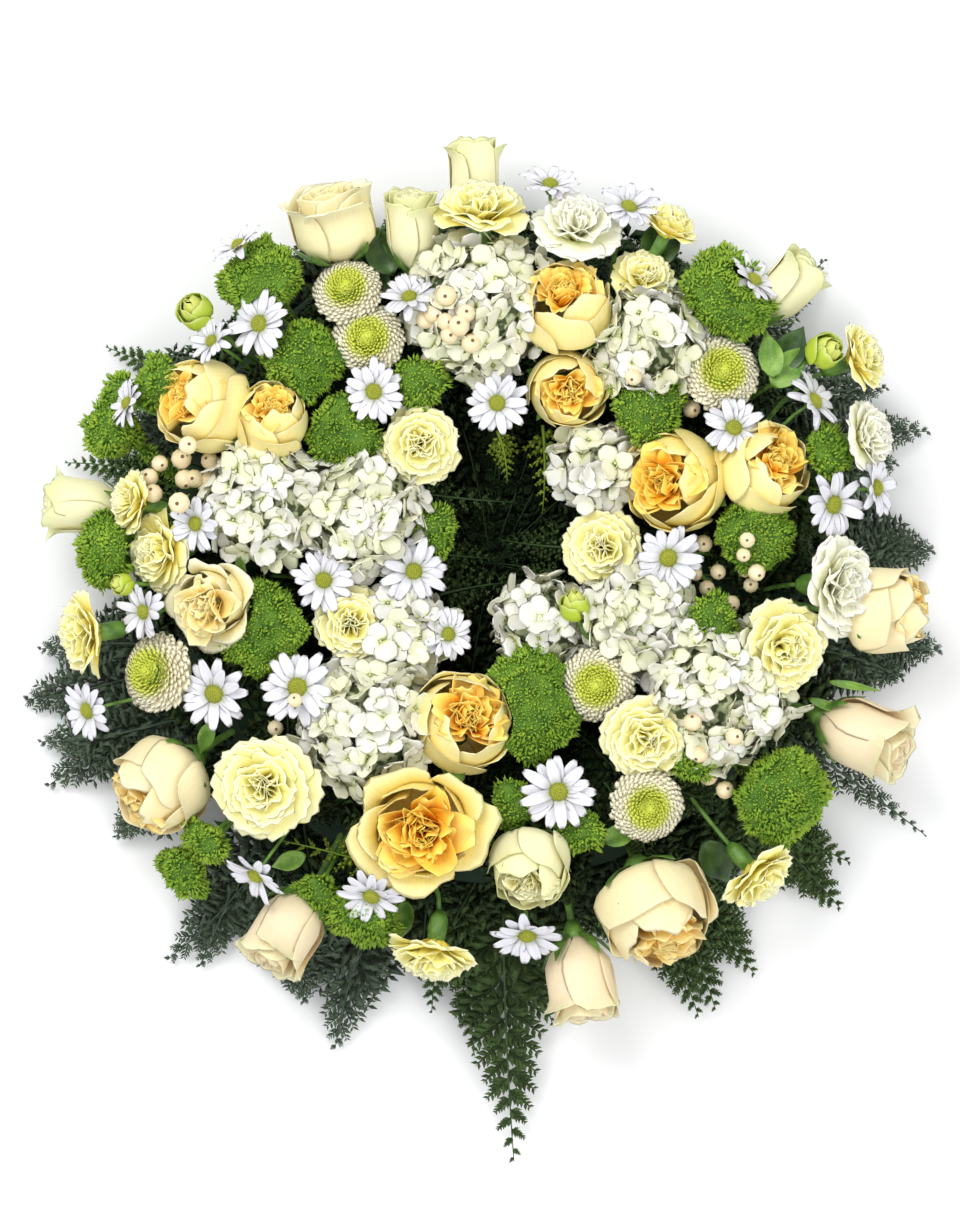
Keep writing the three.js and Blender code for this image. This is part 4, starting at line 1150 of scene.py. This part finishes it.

# Short fronds all round: out from under the outer blooms, in under the inner ones, and over the foam.
# name: count, the rings where they start and end, the heights there, widths, and half the lightest tint.
# The low tints of the low collar and of the linings in the hole are painted shade.
for name, count, starts, ends, start_heights, top, widths, shade in (
    ("fern_collar_outer", 50, (204, 208), (244, 274), (28, 50), 16, (56, 80), 0.3),
    ("fern_collar_low", 36, (190, 204), (238, 266), (12, 26), 8, (74, 94), 0.15),
    ("fern_lining_inner", 36, (150, 164), (0, 66), (26, 56), 44, (56, 78), 0.1),
    ("fern_lining_middle", 22, (100, 130), (-44, 0), (25, 30), 26, (70, 90), 0.08),
    ("fern_cover_outward", 38, (150, 196), (222, 256), (60, 68), 76, (50, 64), 0.3),
    ("fern_cover_inward", 32, (176, 226), (104, 150), (60, 68), 74, (50, 64), 0.3),
):
    sprigs, lowest = [], min(start_heights[0], top) * 0.9
    for i in range(count):
        turn = i * GOLDEN
        start_at, end_at = rng.uniform(*starts), rng.uniform(*ends)
        if name == "fern_collar_outer":
            end_at += 8 - 18 * np.sin(turn)
        swung = turn + rng.normal(0, 0.16)
        start = np.cos(turn) * start_at, np.sin(turn) * start_at, rng.uniform(*start_heights)
        end = np.cos(swung) * end_at, np.sin(swung) * end_at, rng.uniform(lowest, top)
        # The tint carries painted shade: it is lower for the fronds that lie low in the ring or line the
        # hole.
        wide, tint = rng.uniform(*widths), rng.uniform(0, 2 * shade)
        sprigs.append(frond(start, end, 8, wide, tint, **habits["short"]))
    piece(name, joined(*sprigs), fern_skin, "fern_leaf", smooth=False)

# name: finish, habit, then for each spray its start, its end and its width.
for name, skin, habit, *sprays in (
    ("cedar_southwest", cedar_skin, "cedar", (-150, -225, 30, -134, -314, 8, 70),
     (-110, -230, 30, -80, -306, 10, 60), (-170, -190, 30, -208, -288, 8, 64),
     (-150, -200, 34, -176, -268, 12, 60)),
    ("cedar_west", cedar_skin, "cedar", (-215, -60, 34, -322, -62, 12, 66),
     (-220, -110, 34, -322, -128, 10, 64), (-215, -140, 30, -268, -196, 12, 60),
     (-190, 84, 58, -262, 98, 44, 60), (-186, 110, 54, -250, 140, 40, 60)),
    ("fern_southeast", fern_skin, "fern", (95, -200, 36, 160, -319, 8, 88), (120, -190, 30, 188, -294, 8, 80),
     (60, -205, 30, 90, -276, 10, 50), (150, -160, 34, 238, -242, 10, 80),
     (160, -150, 40, 256, -214, 12, 70)),
    ("cedar_east", cedar_skin, "cedar", (210, -60, 44, 293, -83, 22, 66), (215, -20, 40, 300, 22, 18, 60),
     (205, 60, 40, 289, 70, 20, 60), (195, 110, 40, 282, 124, 18, 56), (205, -120, 36, 310, -195, 16, 36)),
    ("fern_south", fern_skin, "fern", (-20, -215, 34, -12, -352, 8, 66), (20, -215, 34, 44, -330, 8, 60)),
    ("fern_north", fern_skin, "fern", (0, 215, 60, 9, 268, 56, 20), (20, 222, 88, 16, 206, 104, 40)),
    ("fern_inner_fresh", fresh_skin, "young", (36, 96, 84, 36, 34, 52, 34), (4, 92, 80, 11, 56, 62, 26),
     (-57, -222, 66, -147, -196, 84, 40)),
    ("fern_inner_dark", fern_skin, "young", (-62, 50, 80, 18, 42, 60, 32), (-40, -24, 66, 26, -14, 40, 44),
     (56, 10, 66, 6, 16, 46, 34), (50, -18, 66, 18, -2, 50, 26), (-44, 6, 60, 4, 2, 36, 38)),
):
    parts = []
    for spray in sprays:
        parts.append(frond(spray[:3], spray[3:6], 6, spray[6], rng.uniform(0.45, 0.75), **habits[habit]))
    piece(name, joined(*parts), skin, "fern_leaf", smooth=False)

# ---- the berries -------------------------------------------------------------------------------------
# Cream-peach berries in loose clusters, each on a thin stalk with small green sepals round its foot
# and a dark scar at its tip.


def perch(x, y):
    """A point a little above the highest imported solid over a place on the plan, or above the low gaps."""
    lift, least = 4 * MM, 86 * MM
    plan = on_plan(x, y)
    hit = packed_solids.ray_cast(Vector((*plan, 1)), Vector((0, 0, -1)))[0]
    return np.array([*plan, (max(hit.z, least) if hit else least) + lift])


def berry(size):
    """A berry round +Z with its foot at the origin."""
    half = size / 2
    turn = np.linspace(0, np.pi, 8)
    outline = [(half * np.sin(a) * (1 + 0.06 * np.cos(a)), half * (1 - np.cos(a))) for a in turn]
    outline[0] = (0, 0.0)
    outline[-1:] = [(half * 0.2, size * 0.985), (half * 0.14, size * 1.04), (0, size * 1.03)]
    points, faces, looks = revolved(outline, 10)
    looks[:, 1] = np.clip(points[:, 2] / size, 0, 1) ** 0.5 * 0.96 + 0.06 * (points[:, 2] > size)
    return points, faces, looks


def berry_green(size):
    """Five short sepals and a bit of stalk."""
    turn = np.arange(5) * 2 * np.pi / 5
    out = np.stack([np.cos(turn), np.sin(turn), np.zeros(5)], -1)
    sepals = blades(out * 0.4, out * size * 0.62 + [0, 0, size * 0.2], [0, 0, 1.0], 1.5, 0.4, 0.5)
    return joined(sepals, revolved([(0, -9), (0.8, -8.6), (0.9, 0), (1.6, 0.4), (0, 0.6)], 6))


berry_skin = Finish("berry_skin", Roughness=0.32)
_, along, _ = berry_skin.looks()
blush = berry_skin.noise(160, 2)
berry_tone = berry_skin.mix(blush.above(0.35, 0.7), (0.90, 0.78, 0.52, 1), (0.87, 0.69, 0.42, 1))
berry_skin.coloured(berry_skin.mix(along.above(0.96, 0.985), berry_tone, (0.16, 0.08, 0.03, 1)))
berry_skin.bumped(blush, 0.1 * MM)

# cluster: size of a berry, and the place of each.
for name, size, *spots in (
    ("north", 14, (-31, 185), (-44, 174), (-34, 167), (-47, 166), (-51, 158), (-22, 162), (-30, 158),
     (-18, 171), (-15, 150), (-46, 145), (-32, 140)),
    ("west", 13.5, (-234, 70), (-238, 57), (-218, 71), (-212, 80), (-216, 62), (-207, 58), (-195, 69),
     (-198, 57), (-235, 45), (-216, 41)),
    ("east", 11.5, (149, 13), (178, 15), (175, 6), (158, -5), (145, -9), (177, -5), (183, -6), (150, -18),
     (182, -17), (167, -27)),
    ("southeast", 13, (140, -115), (167, -122), (148, -130), (148, -150), (162, -161)),
    ("northeast", 12.5, (100, 130), (90, 114), (138, 108), (90, 93)),
    ("southwest", 11.5, (-136, -98), (-152, -116)),
):
    count = len(spots)
    places = np.array([perch(x, y) for x, y in spots])
    axes = leaned(np.tile([0, 0, 1.0], (count, 1)), 0.3)
    turns = rng.uniform(0, 6, count), rng.normal(1, 0.06, count), rng.random(count)
    piece(f"berries_{name}", copies(berry(size), places, axes, *turns), berry_skin, "berries")
    stalks = [stem(foot_for(*spot), place, 0, 0, 0, thick=0.7, steps=6) for spot, place in zip(spots, places)]
    greens = copies(berry_green(size), places, axes, *turns)
    piece(f"berries_{name}_stalks", joined(greens, *stalks), leaf_green, "leaf")

# ---- the lime buds and the rose leaves ---------------------------------------------------------------
# Half-open lime buds on the edge, and the few broad leaves that show between the blooms.


def lime_bud(wide):
    """A round bud of broad overlapping petals that close to a blunt point."""
    half, count = wide / 2, 12
    share = whorl(count, 0.7, 1.15)
    return wrapped_petals(
        7, 7, belly=half * whorl(count, 1, 0.5), tall=wide * share, span=whorl(count, 1.0, 1.3),
        turn=np.arange(count) * GOLDEN, flare=half * -0.75 * ((share - 0.45) / 0.7) ** 2, roll=wide * 0.02,
        wave=wide * 0.02, layer=whorl(count, 0, 1), swell_by=0.45,
    )


def broad_leaf(length, wide):
    """A leaf along +X in the plane of Z = 0, folded along its midrib, with a toothed edge."""
    fold = 0.5
    u, v = sheet_grid(11, 9)
    tooth = 1 + 0.06 * ((v * 10) % 1) * np.abs(u) ** 3
    half = wide / 2 * np.sin(np.pi * np.clip(v * 0.97 + 0.02, 0, 1) ** 0.75) ** 1.1 * tooth
    height = fold * half * np.abs(u) ** 1.3 - 0.16 * length * v**2 + 0.6 * np.sin(9 * v + 3 * u)
    return closed_sheets((length * v, half * u, height), u, v, 0.5)


lime_skin = petal_finish("lime_bud", (0.44, 0.56, 0.04, 1), (0.58, 0.64, 0.1, 1), (0.66, 0.7, 0.16, 1),
                         (0.72, 0.78, 0.3, 1))
dark_leaf = leaf_finish("rose_leaf", (0.012, 0.04, 0.008, 1), (0.07, 0.15, 0.03, 1), 0.35)
bright_leaf = leaf_finish("young_leaf", (0.08, 0.2, 0.02, 1), (0.28, 0.46, 0.08, 1), 0.4)

buds, stalks = [], []
for x, y, wide, faces, tilt, lift in (
    (233, 147, 28, 30, 40, 24), (-207, 175, 28, 140, 40, 18), (58, -31, 24, 100, 58, 26),
    (-258, -16, 18, 180, 50, 14),
):
    middle = crown(x, y, lift)
    buds.append(set_down(lime_bud(wide), wide / 2, middle, faces, tilt))
    stalks.append(stem(foot_for(x, y), middle, wide / 2, faces, tilt, thick=1.7))
piece("lime_buds", joined(*buds), lime_skin, "rose_petals")
piece("lime_bud_stalks", joined(*stalks), leaf_green, "leaf")

# name: finish, then for each leaf its foot, the way it points, its length and width, and its droop.
for name, skin, *leaves in (
    ("leaves_dark", dark_leaf, (-70, 200, 96, 110, 44, 26, 20), (112, 205, 88, 70, 46, 28, 15),
     (200, 132, 100, 60, 40, 24, 10), (-70, 188, 90, 150, 40, 24, 10), (100, 168, 84, 30, 38, 22, 0),
     (30, -190, 84, 250, 40, 24, 10), (150, -196, 70, 300, 40, 24, 20)),
    ("leaves_bright", bright_leaf, (196, 122, 106, 50, 40, 22, 10), (198, 128, 108, 100, 36, 18, 10),
     (78, -196, 90, 20, 30, 16, 10), (-196, -112, 96, 250, 28, 12, 20), (-130, -206, 82, 200, 30, 14, 20),
     (-112, -220, 80, 240, 30, 14, 20), (222, -96, 84, 340, 36, 7, 5), (236, -84, 84, 350, 40, 6, 5),
     (-60, -238, 70, 260, 34, 16, 20)),
):
    parts = [set_down(broad_leaf(length, wide), 0, np.array([*on_plan(x, y), z * MM]), points_to, droop)
             for x, y, z, points_to, length, wide, droop in leaves]
    piece(name, joined(*parts), skin, "leaf")
